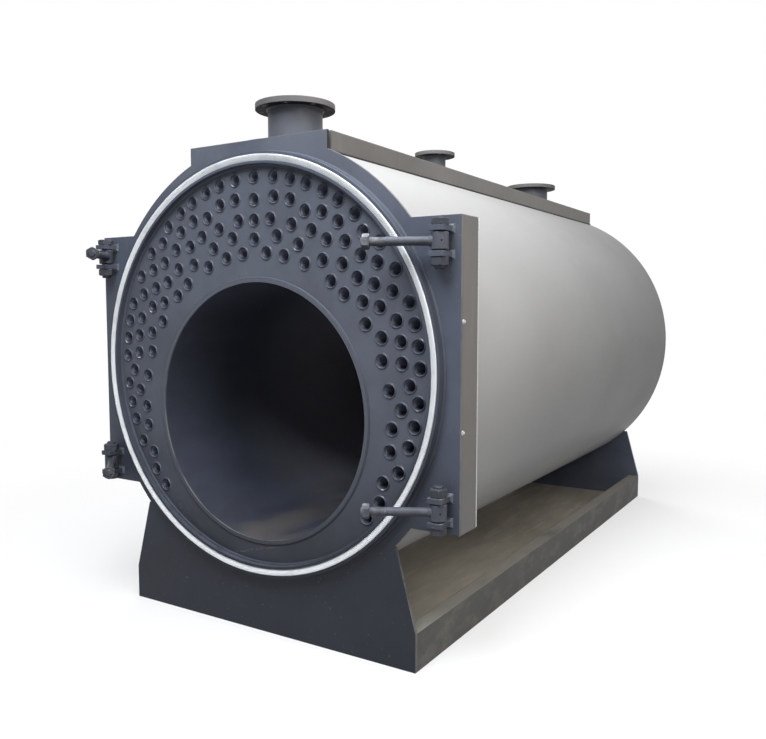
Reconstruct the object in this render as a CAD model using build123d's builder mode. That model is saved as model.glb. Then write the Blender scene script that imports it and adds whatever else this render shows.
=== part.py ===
"""Fire-tube hot-water boiler, standing on its base frame with the front door taken off.

Frame: X to the right as seen from the front, Y to the back, Z up, in millimetres.
The origin is on the floor, in the middle of the base frame.
"""
import os
from math import cos, radians, sin, sqrt

from build123d import *

os.makedirs("parts", exist_ok=True)

# Overall
BASE_LENGTH = 3040.0        # front plate's front face to rear plate's back face
AXIS_HEIGHT = 1043.0        # centre line of the shell above the floor
SEAT_GAP = 0.3              # clearance between pieces that seat in one another
PLATE = 12.0                # front and rear plates

# Pressure shell, tube sheets and furnace
SHELL_RADIUS = 775.0
SHELL_WALL = 10.0
SHELL_PROUD = 36.0          # shell's front edge ahead of the front plate
SHEET = 20.0                # tube sheets
SHEET_PROUD = 8.0           # front tube sheet ahead of the front plate
SMOKE_BOX = 90.0            # depth between the rear tube sheet and the rear plate
FURNACE_WALL = 14.0
FURNACE_DROP = 173.0        # furnace axis below the shell axis
FURNACE_WATER = 78.0        # water space between the furnace and the bottom of the shell
FURNACE_PROUD = 5.0         # furnace lip ahead of the tube sheet
END_WATER = 357.0           # water space between the furnace end and the rear tube sheet

# Fire tubes
TUBE_DIAMETER = 51.0
TUBE_WALL = 3.2
OUTER_ROW_INSET = 43.0      # outer tube row inside the shell's inner face
INNER_ROW_OFFSET = 97.0     # inner tube row outside the furnace wall

# Door seat
GASKET_WIDTH = 24.0
GASKET_PROUD = 41.0         # face of the rope ahead of the front plate
GASKET_CHAMFER = 5.0        # rubbed corners of the rope's face
SEAT_RING = 10.0            # wall of the ring that holds the rope from outside

# Front plate and its ears, tab and feet
FRONT_LIP = 7.0             # round edge of the plate beyond the jacket
EAR_MARGIN = 13.0           # ears beyond the jacket at each side
EAR_RISE = 532.0            # top of the ears above the shell axis
EAR_DROP = 529.0            # bottom of the ears below the shell axis
EAR_BOX_DEPTH = 114.0
TAB_STEP = 1.0              # front tab below the top cover
FOOT_WIDTH = 1404.0
FOOT_KINK = 139.0
FOOT_NECK_WIDTH = 1240.0
FOOT_NECK_DROP = 608.0      # neck of the feet below the shell axis

# Jacket and top cover
INSULATION = 80.0           # jacket's wool and sheet outside the shell
COVER_WIDTH = 670.0
COVER_RISE = 7.0            # cover above the crown of the jacket
COVER_SHEET = 3.0
COVER_GAP = 15.0            # dark slot between the front tab and the cover

# Water nozzles: places along the boiler, pipe and flange sizes
NOZZLE_RISE = 175.0         # flange faces above the top cover
FLOW_PLACE = 248.0          # behind the front face
SAFETY_PLACE = 1430.0       # behind the front face
RETURN_INSET = 240.0        # ahead of the rear face
LARGE_PIPE = 219.1
LARGE_PIPE_WALL = 6.3
LARGE_FLANGE = 320.0
LARGE_BOLT_CIRCLE = 280.0
LARGE_BOLTS = 8
LARGE_FLANGE_THICKNESS = 22.0
SMALL_PIPE = 114.3
SMALL_PIPE_WALL = 4.5
SMALL_FLANGE = 210.0
SMALL_BOLT_CIRCLE = 170.0
SMALL_BOLTS = 4
SMALL_FLANGE_THICKNESS = 18.0
FLANGE_HOLE = 18.0
FACE_STEP = 5.0             # pipe end below the flange face

# Flue outlet at the back
FLUE_DIAMETER = 500.0
FLUE_WALL = 5.0
FLUE_LENGTH = 150.0
FLUE_RISE = 150.0           # flue axis above the shell axis

# Base frame
CHANNEL_HEIGHT = 140.0
CHANNEL_FLANGE = 60.0
CHANNEL_WEB = 7.0
CHANNEL_FLANGE_THICKNESS = 10.0
FLOOR_SHEET = 6.0

# Swing bolts and their lugs
LUG_INSET = 58.0            # hinge pin inside the ear's edge
LUG_RISE = 445.0            # lugs above and below the shell axis
PIN_PROUD = 40.0            # hinge pin ahead of the front plate
PIN_DIAMETER = 36.0
PIN_HEAD = 55.0             # across flats
PIN_HEAD_HEIGHT = 22.5
PIN_NUT_HEIGHT = 29.0
PIN_END = 10.0
LUG_WIDTH = 54.0
LUG_NOSE = 31.0             # lug plate ahead of the pin axis
LUG_PLATE = 18.0
EYE_DIAMETER = 58.0
EYE_HEIGHT = 57.0
EYE_PLAY = 4.0              # eye to each lug plate
PIN_PLAY = 0.25             # radial play of the eye on its pin
ROD_DIAMETER = 30.0
ROD_LENGTH = 258.0          # pin axis to rod end
NUT_WIDTH = 46.0            # across flats
NUT_HEIGHT = 25.0
NUT_SETBACK = 4.0           # rod end beyond the nut
UPPER_RIGHT_SWING = 25.0    # rod angle away from the front plate
LOWER_RIGHT_SWING = 29.0
UPPER_LEFT_SWING = 51.0
LOWER_LEFT_SWING = 42.0

# Tube layout: angles from the top, each used left and right of the centre line.
# The outer row turns about the shell axis, the inner row about the furnace axis.
OUTER_ROW_ANGLES = (
    7.5, 14, 20, 26.5, 32.5, 39.5, 51, 60, 70, 76, 82, 88, 97.5, 104, 110, 118, 129, 135.5,
)
INNER_ROW_ANGLES = (5.5, 13.5, 23, 35.5, 42.5, 55.5, 69, 79, 91.5, 99, 110)
# Tubes between the rows: angle about the shell axis and share of the way from inner to outer row.
BETWEEN_ANGLES_SHARES = (
    (8, 0.45), (8.5, 0.74), (12.5, 0.24), (15.5, 0.74), (18.5, 0.43), (22.5, 0.66), (24.5, 0.21),
    (28, 0.46), (29, 0.75), (35.5, 0.46), (36, 0.76), (38.5, 0.18), (42, 0.61), (45, 0.9),
    (46.5, 0.33), (49.5, 0.64), (54.5, 0.36), (55, 0.79), (60, 0.54), (63, 0.19), (65, 0.78),
    (67.5, 0.43), (73.5, 0.64), (77.5, 0.19), (80, 0.6), (86.5, 0.52), (93, 0.69), (100.5, 0.4),
)
CENTRE_SHARES = (0.18, 0.43, 0.7, 1.0)

# Places that follow from the sizes above
FRONT = -BASE_LENGTH / 2
REAR = BASE_LENGTH / 2
PLATE_BACK = FRONT + PLATE
REAR_FACE = REAR - PLATE
SHELL_BORE = SHELL_RADIUS - SHELL_WALL
JACKET_RADIUS = SHELL_RADIUS + INSULATION
FRONT_RADIUS = JACKET_RADIUS + FRONT_LIP
EAR_SPAN = 2 * (JACKET_RADIUS + EAR_MARGIN)
EAR_TOP = AXIS_HEIGHT + EAR_RISE
EAR_BOTTOM = AXIS_HEIGHT - EAR_DROP
COVER_TOP = AXIS_HEIGHT + JACKET_RADIUS + COVER_RISE
TAB_TOP = COVER_TOP - TAB_STEP
NOZZLE_TOP = COVER_TOP + NOZZLE_RISE
RETURN_PLACE = BASE_LENGTH - RETURN_INSET
FURNACE_RADIUS = SHELL_BORE - FURNACE_DROP - FURNACE_WATER
FURNACE_HEIGHT = AXIS_HEIGHT - FURNACE_DROP
SHEET_FRONT = FRONT - SHEET_PROUD
REAR_SHEET_BACK = REAR_FACE - SMOKE_BOX
GASKET_INNER = SHELL_RADIUS + SEAT_GAP
GASKET_OUTER = GASKET_INNER + GASKET_WIDTH
SEAT_RING_INNER = GASKET_OUTER + SEAT_GAP
INNER_ROW_RADIUS = FURNACE_RADIUS + INNER_ROW_OFFSET
OUTER_ROW_RADIUS = SHELL_BORE - OUTER_ROW_INSET
TUBE_BORE = TUBE_DIAMETER - 2 * TUBE_WALL
LUG_REACH = EAR_SPAN / 2 - LUG_INSET
LUG_GAP = EYE_HEIGHT + 2 * EYE_PLAY
PIN_DEPTH = FRONT - PIN_PROUD
FLUE_HEIGHT = AXIS_HEIGHT + FLUE_RISE
FOOT_NECK = AXIS_HEIGHT - FOOT_NECK_DROP
FOOT_OUTLINE = (
    (-FOOT_WIDTH / 2, 0),
    (FOOT_WIDTH / 2, 0),
    (FOOT_WIDTH / 2, FOOT_KINK),
    (FOOT_NECK_WIDTH / 2, FOOT_NECK),
    (-FOOT_NECK_WIDTH / 2, FOOT_NECK),
    (-FOOT_WIDTH / 2, FOOT_KINK),
)


def upright(depth):
    """Vertical sketch plane facing the front, at a depth along Y; its local y is the height."""
    return Plane.XZ.offset(-depth)


def finish(piece, name):
    """Name a finished piece and write it."""
    piece.part.label = name
    export_step(piece.part, f"parts/{name}.step")


def inner_row_reach(angle):
    """Distance from the shell axis to the inner row's circle, along an angle from the top."""
    turn = radians(angle)
    across = sqrt(INNER_ROW_RADIUS**2 - (FURNACE_DROP * sin(turn)) ** 2)
    return across - FURNACE_DROP * cos(turn)


def tube_centres():
    """Centres (X, Z) of all fire tubes."""
    half = []
    for angle in OUTER_ROW_ANGLES:
        half.append((OUTER_ROW_RADIUS, angle, AXIS_HEIGHT))
    for angle in INNER_ROW_ANGLES:
        half.append((INNER_ROW_RADIUS, angle, FURNACE_HEIGHT))
    for angle, share in BETWEEN_ANGLES_SHARES:
        near = inner_row_reach(angle)
        half.append((near + share * (OUTER_ROW_RADIUS - near), angle, AXIS_HEIGHT))
    centres = []
    for reach, angle, height in half:
        for side in (1, -1):
            across = side * reach * sin(radians(angle))
            centres.append((across, height + reach * cos(radians(angle))))
    top_near = inner_row_reach(0)
    for share in CENTRE_SHARES:
        centres.append((0, AXIS_HEIGHT + top_near + share * (OUTER_ROW_RADIUS - top_near)))
    return centres


def round_pipe(outside, wall, depth, length, height):
    """Level pipe along Y with its axis on the centre line."""
    with BuildPart() as pipe:
        with BuildSketch(upright(depth)):
            with Locations((0, height)):
                Circle(outside)
                Circle(outside - wall, mode=Mode.SUBTRACT)
        extrude(amount=-length)
    return pipe


# Front plate: one cut plate with the seat circle, ears, top tab and feet
with BuildPart() as front_plate:
    with BuildSketch(upright(FRONT)):
        with BuildLine():
            Polyline(*FOOT_OUTLINE, close=True)
        make_face()
        with Locations((0, AXIS_HEIGHT)):
            Circle(FRONT_RADIUS)
        with Locations((0, EAR_BOTTOM)):
            Rectangle(EAR_SPAN, EAR_TOP - EAR_BOTTOM, align=(Align.CENTER, Align.MIN))
        with Locations((0, AXIS_HEIGHT)):
            Rectangle(COVER_WIDTH, TAB_TOP - AXIS_HEIGHT, align=(Align.CENTER, Align.MIN))
            Circle(SHELL_RADIUS + SEAT_GAP, mode=Mode.SUBTRACT)
    extrude(amount=-PLATE)
finish(front_plate, "front_plate")

# Rear plate: closes the back of the jacket and carries the rear feet
with BuildPart() as rear_plate:
    with BuildSketch(upright(REAR_FACE)):
        with BuildLine():
            Polyline(*FOOT_OUTLINE, close=True)
        make_face()
        with Locations((0, AXIS_HEIGHT)):
            Circle(JACKET_RADIUS)
        with Locations((0, FLUE_HEIGHT)):
            Circle(FLUE_DIAMETER / 2 - FLUE_WALL, mode=Mode.SUBTRACT)
    extrude(amount=-PLATE)
finish(rear_plate, "rear_plate")

# Flue spigot, standing on the rear plate around its opening
flue_spigot = round_pipe(FLUE_DIAMETER / 2, FLUE_WALL, REAR, FLUE_LENGTH, FLUE_HEIGHT)
finish(flue_spigot, "flue_spigot")

# Pressure shell, open for the water nozzles
NOZZLES = {
    "flow": (FLOW_PLACE, LARGE_PIPE, LARGE_PIPE_WALL),
    "safety": (SAFETY_PLACE, SMALL_PIPE, SMALL_PIPE_WALL),
    "return": (RETURN_PLACE, LARGE_PIPE, LARGE_PIPE_WALL),
}
shell_front = FRONT - SHELL_PROUD
with BuildPart() as boiler_shell:
    with BuildSketch(upright(shell_front)):
        with Locations((0, AXIS_HEIGHT)):
            Circle(SHELL_RADIUS)
            Circle(SHELL_BORE, mode=Mode.SUBTRACT)
    extrude(amount=-(REAR_FACE - shell_front))
    for place, pipe, wall in NOZZLES.values():
        with Locations((0, FRONT + place, AXIS_HEIGHT)):
            Cylinder(
                pipe / 2 - wall,
                SHELL_RADIUS + PLATE,
                align=(Align.CENTER, Align.CENTER, Align.MIN),
                mode=Mode.SUBTRACT,
            )
finish(boiler_shell, "boiler_shell")

# Tube bank: front and rear tube sheets with the fire tubes welded into both
centres = tube_centres()
with BuildPart() as tube_bank:
    with BuildSketch(upright(SHEET_FRONT)):
        with Locations((0, AXIS_HEIGHT)):
            Circle(SHELL_BORE - SEAT_GAP)
        with Locations((0, FURNACE_HEIGHT)):
            Circle(FURNACE_RADIUS + SEAT_GAP, mode=Mode.SUBTRACT)
    extrude(amount=-SHEET)
    with BuildSketch(upright(REAR_SHEET_BACK - SHEET)):
        with Locations((0, AXIS_HEIGHT)):
            Circle(SHELL_BORE - SEAT_GAP)
    extrude(amount=-SHEET)
    with BuildSketch(upright(SHEET_FRONT + SHEET)):
        with Locations(*centres):
            Circle(TUBE_DIAMETER / 2)
    extrude(amount=-(REAR_SHEET_BACK - SHEET_FRONT - 2 * SHEET))
    with BuildSketch(upright(SHEET_FRONT)):
        with Locations(*centres):
            Circle(TUBE_BORE / 2)
    extrude(amount=-(REAR_SHEET_BACK - SHEET_FRONT), mode=Mode.SUBTRACT)
finish(tube_bank, "tube_bank")

# Furnace: a plain tube closed at the back by a flat end plate
furnace_front = SHEET_FRONT - FURNACE_PROUD
furnace_back = REAR_SHEET_BACK - SHEET - END_WATER - FURNACE_WALL
furnace_tube = round_pipe(
    FURNACE_RADIUS, FURNACE_WALL, furnace_front, furnace_back - furnace_front, FURNACE_HEIGHT
)
finish(furnace_tube, "furnace_tube")

with BuildPart() as furnace_end:
    with BuildSketch(upright(furnace_back)):
        with Locations((0, FURNACE_HEIGHT)):
            Circle(FURNACE_RADIUS)
    extrude(amount=-FURNACE_WALL)
finish(furnace_end, "furnace_end")

# Rope gasket between the shell's front edge and the seat ring
with BuildPart() as door_gasket:
    with BuildSketch(upright(FRONT - GASKET_PROUD)):
        with Locations((0, AXIS_HEIGHT)):
            Circle(GASKET_OUTER)
            Circle(GASKET_INNER, mode=Mode.SUBTRACT)
    extrude(amount=-GASKET_PROUD)
    chamfer(door_gasket.faces().sort_by(Axis.Y)[0].edges(), GASKET_CHAMFER)
finish(door_gasket, "door_gasket")

seat_ring = round_pipe(
    SEAT_RING_INNER + SEAT_RING, SEAT_RING, FRONT - SHELL_PROUD, SHELL_PROUD, AXIS_HEIGHT
)
finish(seat_ring, "seat_ring")

# Jacket: two insulated half shells, meeting at the top and the bottom
for side, half in (("left", Align.MAX), ("right", Align.MIN)):
    with BuildPart() as jacket:
        with BuildSketch(upright(PLATE_BACK)):
            with Locations((0, AXIS_HEIGHT)):
                Circle(JACKET_RADIUS)
                Circle(SHELL_RADIUS + SEAT_GAP, mode=Mode.SUBTRACT)
                Rectangle(
                    JACKET_RADIUS, 2 * JACKET_RADIUS, align=(half, Align.CENTER), mode=Mode.INTERSECT
                )
        extrude(amount=-(REAR_FACE - PLATE_BACK))
        for place, pipe, wall in NOZZLES.values():
            with Locations((0, FRONT + place, AXIS_HEIGHT)):
                Cylinder(
                    pipe / 2 + SEAT_GAP,
                    JACKET_RADIUS + PLATE,
                    align=(Align.CENTER, Align.CENTER, Align.MIN),
                    mode=Mode.SUBTRACT,
                )
    finish(jacket, f"jacket_{side}")

# Ear boxes behind the front plate, hugging the jacket
for side, half in (("left", Align.MAX), ("right", Align.MIN)):
    with BuildPart() as ear_box:
        with BuildSketch(upright(PLATE_BACK)):
            with Locations((0, EAR_BOTTOM)):
                Rectangle(EAR_SPAN / 2, EAR_TOP - EAR_BOTTOM, align=(half, Align.MIN))
            with Locations((0, AXIS_HEIGHT)):
                Circle(JACKET_RADIUS + SEAT_GAP, mode=Mode.SUBTRACT)
        extrude(amount=-EAR_BOX_DEPTH)
    finish(ear_box, f"ear_box_{side}")

# Top cover: folded sheet along the crown of the jacket, closed at both ends
cover_front = PLATE_BACK + COVER_GAP
cover_length = REAR - cover_front
with BuildPart() as top_cover:
    for start, length in ((cover_front, COVER_SHEET), (REAR - COVER_SHEET, COVER_SHEET)):
        with BuildSketch(upright(start)):
            with Locations((0, COVER_TOP)):
                Rectangle(COVER_WIDTH, COVER_TOP - AXIS_HEIGHT, align=(Align.CENTER, Align.MAX))
            with Locations((0, AXIS_HEIGHT)):
                Circle(JACKET_RADIUS + SEAT_GAP, mode=Mode.SUBTRACT)
        extrude(amount=-length)
    with BuildSketch(upright(cover_front)):
        with Locations((0, COVER_TOP)):
            Rectangle(COVER_WIDTH, COVER_TOP - AXIS_HEIGHT, align=(Align.CENTER, Align.MAX))
        with Locations((0, COVER_TOP - COVER_SHEET)):
            Rectangle(
                COVER_WIDTH - 2 * COVER_SHEET,
                COVER_TOP - AXIS_HEIGHT,
                align=(Align.CENTER, Align.MAX),
                mode=Mode.SUBTRACT,
            )
        with Locations((0, AXIS_HEIGHT)):
            Circle(JACKET_RADIUS + SEAT_GAP, mode=Mode.SUBTRACT)
    extrude(amount=-cover_length)
    for place, pipe, wall in NOZZLES.values():
        with Locations((0, FRONT + place, COVER_TOP)):
            Cylinder(pipe / 2 + SEAT_GAP, 2 * PLATE, mode=Mode.SUBTRACT)
finish(top_cover, "top_cover")

# Water nozzles: pipe standing on the shell, and its flange
FLANGES = {
    "flow": (LARGE_FLANGE, LARGE_BOLT_CIRCLE, LARGE_BOLTS, LARGE_FLANGE_THICKNESS),
    "safety": (SMALL_FLANGE, SMALL_BOLT_CIRCLE, SMALL_BOLTS, SMALL_FLANGE_THICKNESS),
    "return": (LARGE_FLANGE, LARGE_BOLT_CIRCLE, LARGE_BOLTS, LARGE_FLANGE_THICKNESS),
}
for name, (place, pipe, wall) in NOZZLES.items():
    with BuildPart() as nozzle:
        with BuildSketch(Plane((0, FRONT + place, AXIS_HEIGHT))):
            Circle(pipe / 2)
            Circle(pipe / 2 - wall, mode=Mode.SUBTRACT)
        extrude(amount=NOZZLE_TOP - FACE_STEP - AXIS_HEIGHT)
        with BuildSketch(upright(FRONT)):
            with Locations((0, AXIS_HEIGHT)):
                Circle(SHELL_RADIUS + SEAT_GAP)
        extrude(amount=-BASE_LENGTH, mode=Mode.SUBTRACT)
    finish(nozzle, f"{name}_nozzle")

    outside, bolt_circle, bolts, thickness = FLANGES[name]
    with BuildPart() as flange:
        with BuildSketch(Plane((0, FRONT + place, NOZZLE_TOP - thickness))):
            Circle(outside / 2)
            Circle(pipe / 2 + SEAT_GAP, mode=Mode.SUBTRACT)
            with PolarLocations(bolt_circle / 2, bolts, start_angle=180 / bolts):
                Circle(FLANGE_HOLE / 2, mode=Mode.SUBTRACT)
        extrude(amount=thickness)
    finish(flange, f"{name}_flange")

# Base frame: two channels between the plates and the floor sheet between them
for side, hand in (("left", -1), ("right", 1)):
    with BuildPart() as channel:
        with BuildSketch(upright(PLATE_BACK)):
            with Locations((hand * (FOOT_WIDTH - CHANNEL_FLANGE) / 2, CHANNEL_HEIGHT / 2)):
                Rectangle(CHANNEL_FLANGE, CHANNEL_HEIGHT)
            with Locations((hand * ((FOOT_WIDTH - CHANNEL_FLANGE) / 2 - CHANNEL_WEB), CHANNEL_HEIGHT / 2)):
                Rectangle(
                    CHANNEL_FLANGE,
                    CHANNEL_HEIGHT - 2 * CHANNEL_FLANGE_THICKNESS,
                    mode=Mode.SUBTRACT,
                )
        extrude(amount=-(REAR_FACE - PLATE_BACK))
    finish(channel, f"base_channel_{side}")

with BuildPart() as base_floor:
    with BuildSketch(Plane.XY):
        Rectangle(FOOT_WIDTH - 2 * CHANNEL_FLANGE - 2 * SEAT_GAP, BASE_LENGTH - 2 * PLATE - 2 * SEAT_GAP)
    extrude(amount=FLOOR_SHEET)
finish(base_floor, "base_floor")

# Hinge lugs, pins and swing bolts; upper and lower ones mirror each other about the shell axis
SWINGS = {
    "upper_right": (1, 1, UPPER_RIGHT_SWING),
    "lower_right": (1, -1, LOWER_RIGHT_SWING),
    "upper_left": (-1, 1, UPPER_LEFT_SWING),
    "lower_left": (-1, -1, LOWER_LEFT_SWING),
}
for name, (hand, level, swing) in SWINGS.items():
    height = AXIS_HEIGHT + level * LUG_RISE
    with BuildPart() as lug:
        for up in (1, -1):
            lug_middle = height + up * (LUG_GAP + LUG_PLATE) / 2
            with BuildSketch(Plane((hand * LUG_REACH, FRONT, lug_middle - LUG_PLATE / 2))):
                Rectangle(LUG_WIDTH, PIN_PROUD + LUG_NOSE, align=(Align.CENTER, Align.MAX))
                with Locations((0, -PIN_PROUD)):
                    Circle(PIN_DIAMETER / 2 + PIN_PLAY, mode=Mode.SUBTRACT)
            extrude(amount=LUG_PLATE)
    finish(lug, f"lug_{name}")

    lug_face = LUG_GAP / 2 + LUG_PLATE
    with BuildPart() as pin:
        with BuildSketch(Plane((hand * LUG_REACH, PIN_DEPTH, height + level * lug_face))):
            RegularPolygon(PIN_HEAD / 2, 6, major_radius=False)
        extrude(amount=level * PIN_HEAD_HEIGHT)
        with BuildSketch(Plane((hand * LUG_REACH, PIN_DEPTH, height - level * lug_face))):
            RegularPolygon(PIN_HEAD / 2, 6, major_radius=False)
        extrude(amount=-level * PIN_NUT_HEIGHT)
        with BuildSketch(Plane((hand * LUG_REACH, PIN_DEPTH, height + level * lug_face))):
            Circle(PIN_DIAMETER / 2)
        extrude(amount=-level * (2 * lug_face + PIN_NUT_HEIGHT + PIN_END))
    finish(pin, f"pin_{name}")

    inward = Vector(-hand * cos(radians(swing)), -sin(radians(swing)), 0)
    eye = Vector(hand * LUG_REACH, PIN_DEPTH, height)
    with BuildPart() as bolt:
        with BuildSketch(Plane(eye - Vector(0, 0, EYE_HEIGHT / 2))):
            Circle(EYE_DIAMETER / 2)
        extrude(amount=EYE_HEIGHT)
        with BuildSketch(Plane(eye, x_dir=(0, 0, 1), z_dir=inward)):
            Circle(ROD_DIAMETER / 2)
        extrude(amount=ROD_LENGTH)
        with BuildSketch(Plane(eye - Vector(0, 0, EYE_HEIGHT / 2))):
            Circle(PIN_DIAMETER / 2 + PIN_PLAY)
        extrude(amount=EYE_HEIGHT, mode=Mode.SUBTRACT)
    finish(bolt, f"swing_bolt_{name}")

    nut_start = eye + inward * (ROD_LENGTH - NUT_SETBACK - NUT_HEIGHT)
    with BuildPart() as nut:
        with BuildSketch(Plane(nut_start, x_dir=(0, 0, 1), z_dir=inward)):
            RegularPolygon(NUT_WIDTH / 2, 6, major_radius=False)
            Circle(ROD_DIAMETER / 2 + SEAT_GAP, mode=Mode.SUBTRACT)
        extrude(amount=NUT_HEIGHT)
    finish(nut, f"swing_nut_{name}")
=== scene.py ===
"""Looks of a fire-tube boiler with its front door taken off, built around its CAD model.

All sizes are in metres, in the CAD model's frame: X to the right, Y to the back, Z up.
"""
import math
from itertools import pairwise

import bmesh
import bpy
from bpy.props import FloatProperty, FloatVectorProperty, PointerProperty
from bpy.types import Operator, Panel, PropertyGroup
from mathutils import Matrix, Vector


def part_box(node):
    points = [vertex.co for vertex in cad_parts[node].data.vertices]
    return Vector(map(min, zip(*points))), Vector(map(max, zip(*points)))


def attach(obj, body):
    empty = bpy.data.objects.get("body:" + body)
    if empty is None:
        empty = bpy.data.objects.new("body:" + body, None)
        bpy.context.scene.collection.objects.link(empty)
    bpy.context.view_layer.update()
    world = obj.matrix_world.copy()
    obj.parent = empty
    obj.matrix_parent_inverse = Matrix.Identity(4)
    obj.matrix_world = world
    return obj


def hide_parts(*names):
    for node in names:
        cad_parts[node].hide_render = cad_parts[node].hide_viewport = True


bl_info = {
    "name": "Fire-tube boiler",
    "version": (1, 0, 0),
    "blender": (4, 5, 0),
    "location": "3D View > Sidebar > Boiler",
    "description": "Dresses the CAD model of a fire-tube boiler with welds, bolts and finishes",
    "category": "Object",
}

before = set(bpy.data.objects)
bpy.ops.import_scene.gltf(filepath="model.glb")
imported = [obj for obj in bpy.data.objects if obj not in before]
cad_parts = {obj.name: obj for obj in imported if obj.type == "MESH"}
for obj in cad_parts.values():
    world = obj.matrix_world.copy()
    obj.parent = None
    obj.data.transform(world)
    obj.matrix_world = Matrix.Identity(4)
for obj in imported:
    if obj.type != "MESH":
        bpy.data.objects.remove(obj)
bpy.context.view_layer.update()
BODY = "boiler"
CORNERS = ("upper_right", "lower_right", "upper_left", "lower_left")
RIGHT_AND_LEFT = (1, -1)


def half_width(node):
    """Half of a CAD node's width, which is the radius of a round one."""
    low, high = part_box(node)
    return (high.x - low.x) / 2


def middle(node):
    """Middle of a CAD node's box."""
    low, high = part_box(node)
    return (low + high) / 2


# Places of the CAD pieces that the details sit on
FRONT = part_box("front_plate")[0].y
PLATE_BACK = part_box("front_plate")[1].y
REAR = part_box("rear_plate")[1].y
AXIS = middle("boiler_shell").z
SHEET_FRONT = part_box("tube_bank")[0].y
SHELL_RADIUS = half_width("boiler_shell")
SHEET_RADIUS = half_width("tube_bank")
FURNACE_AXIS = middle("furnace_tube").z
FURNACE_RADIUS = half_width("furnace_tube")
FURNACE_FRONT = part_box("furnace_tube")[0].y
GASKET_RADIUS = half_width("door_gasket")
GASKET_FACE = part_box("door_gasket")[0].y
RING_RADIUS = half_width("seat_ring")
FLUE_RADIUS = half_width("flue_spigot")
COVER_LOW, COVER_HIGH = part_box("top_cover")
EAR_LOW, EAR_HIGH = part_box("ear_box_right")

# Fire tubes: angles from the top in degrees, each used left and right of the centre line
TUBE_RADIUS = 0.0255
TUBE_BORE_RADIUS = 0.0223
SHEET_GAP = 0.0003          # tube sheet's edge inside the shell
OUTER_ROW_MARGIN = 0.043    # outer row inside the shell
INNER_ROW_MARGIN = 0.097    # inner row outside the furnace
OUTER_ROW_RADIUS = SHEET_RADIUS + SHEET_GAP - OUTER_ROW_MARGIN
INNER_ROW_RADIUS = FURNACE_RADIUS + INNER_ROW_MARGIN
FURNACE_DROP = AXIS - FURNACE_AXIS
OUTER_ROW_ANGLES = (
    7.5, 14, 20, 26.5, 32.5, 39.5, 51, 60, 70, 76, 82, 88, 97.5, 104, 110, 118, 129, 135.5,
)
INNER_ROW_ANGLES = (5.5, 13.5, 23, 35.5, 42.5, 55.5, 69, 79, 91.5, 99, 110)
BETWEEN_ANGLES_SHARES = (
    (8, 0.45), (8.5, 0.74), (12.5, 0.24), (15.5, 0.74), (18.5, 0.43), (22.5, 0.66), (24.5, 0.21),
    (28, 0.46), (29, 0.75), (35.5, 0.46), (36, 0.76), (38.5, 0.18), (42, 0.61), (45, 0.9),
    (46.5, 0.33), (49.5, 0.64), (54.5, 0.36), (55, 0.79), (60, 0.54), (63, 0.19), (65, 0.78),
    (67.5, 0.43), (73.5, 0.64), (77.5, 0.19), (80, 0.6), (86.5, 0.52), (93, 0.69), (100.5, 0.4),
)
CENTRE_SHARES = (0.18, 0.43, 0.7, 1.0)
GOLDEN_ANGLE = math.radians(137.5)

# Small sizes of the details
SEAT_GAP = 0.0002           # between a piece and what it lies on
OVERLAP = 0.002             # hinge pin inside its head
MERGE = 0.00002             # corners this near are one corner
WELD_BITE = 0.0005          # weld inside the pieces that it joins
FURNACE_WELD_RISE = 0.0045
PIPE_WELD_LEG = 0.005
PIPE_WELD_RISE = 0.0035
COVER_WELD_RISE = 0.004
LUG_CLEARANCE = 0.008       # lug plates' gap beyond the eye between them
LUG_WELD_SINK = 0.0004      # lug welds inside the front plate
LUG_WELD_WOBBLE = 0.0009
TUBE_WELD_WOBBLE = 0.0005
BORE_GAP = 0.0003           # tube end's bore inside the tube's
ROPE_SIDE_GAP = 0.0005      # rope outside the shell's edge
ROPE_BACK_GAP = 0.002       # rope ahead of the front plate
PIN_GAP = 0.00025           # eye round its pin
ROD_SINK = 0.006            # rod's start inside the eye
THREAD_START = 0.001        # thread's start past the plain rod
THREAD_RUNOUT = 0.004       # rod's threaded end that no turn covers
WASHER_SHAPE = ((0.0, -0.0006), (1.0, -0.0006), (1.0, 0.0008), (0.86, 0.0018), (0.5, 0.0022), (0.0, 0.0022))
SCREW_HEAD = (0.0018, 0.0062)
END_GAP = 0.004             # trim and seals shorter than what carries them
SCREW_HEIGHTS = (1.228, 0.86)
SCREW_SETBACK = 0.006       # casing screws behind the ear box's front edge
TRIM_THICKNESS = 0.004
TRIM_PROUD = 0.002          # trim beyond the ear box's side
TRIM_BEVEL = 0.0012
TRIM_BEHIND = 0.0015        # middle of the trim behind the ear box

# Places where a finish changes
# Painted shade: paint low at the front is darkened, standing in for the shade that falls there
SHADE_HEIGHTS = (0.95, 0.2)             # paint turns darker from the first height down to the second
SHADE_DEPTHS = (FRONT + 0.4, FRONT + 0.1)
LIGHTER_TOP_HEIGHTS = (1.4, 1.85)              # paint turns lighter and warmer from the first height up to the second
PLUG_ACROSS, PLUG_HEIGHT = -0.425, 0.445
PLUG_RADIUS = 0.021
SCRATCH_HEIGHT = 0.33
SCRATCH_SLOPE = 0.25
SCRATCH_MIDDLE = -0.02
# Jacket: painted shade towards the back and low on the sides, painted light near the front and along the
# bottom
SHADED_JACKET_DEPTHS = (FRONT + 0.4, REAR)
LIT_JACKET_DEPTHS = (FRONT + 1.0, FRONT + 0.2)
LIT_JACKET_HEIGHTS = (1.55, 1.2)
SHADED_JACKET_HEIGHTS = (1.15, 0.65)
BOUNCE_LIT_HEIGHTS = (0.56, 0.38)
COVER_HEIGHTS = (EAR_HIGH.z + 0.05, EAR_HIGH.z + 0.1)
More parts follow.
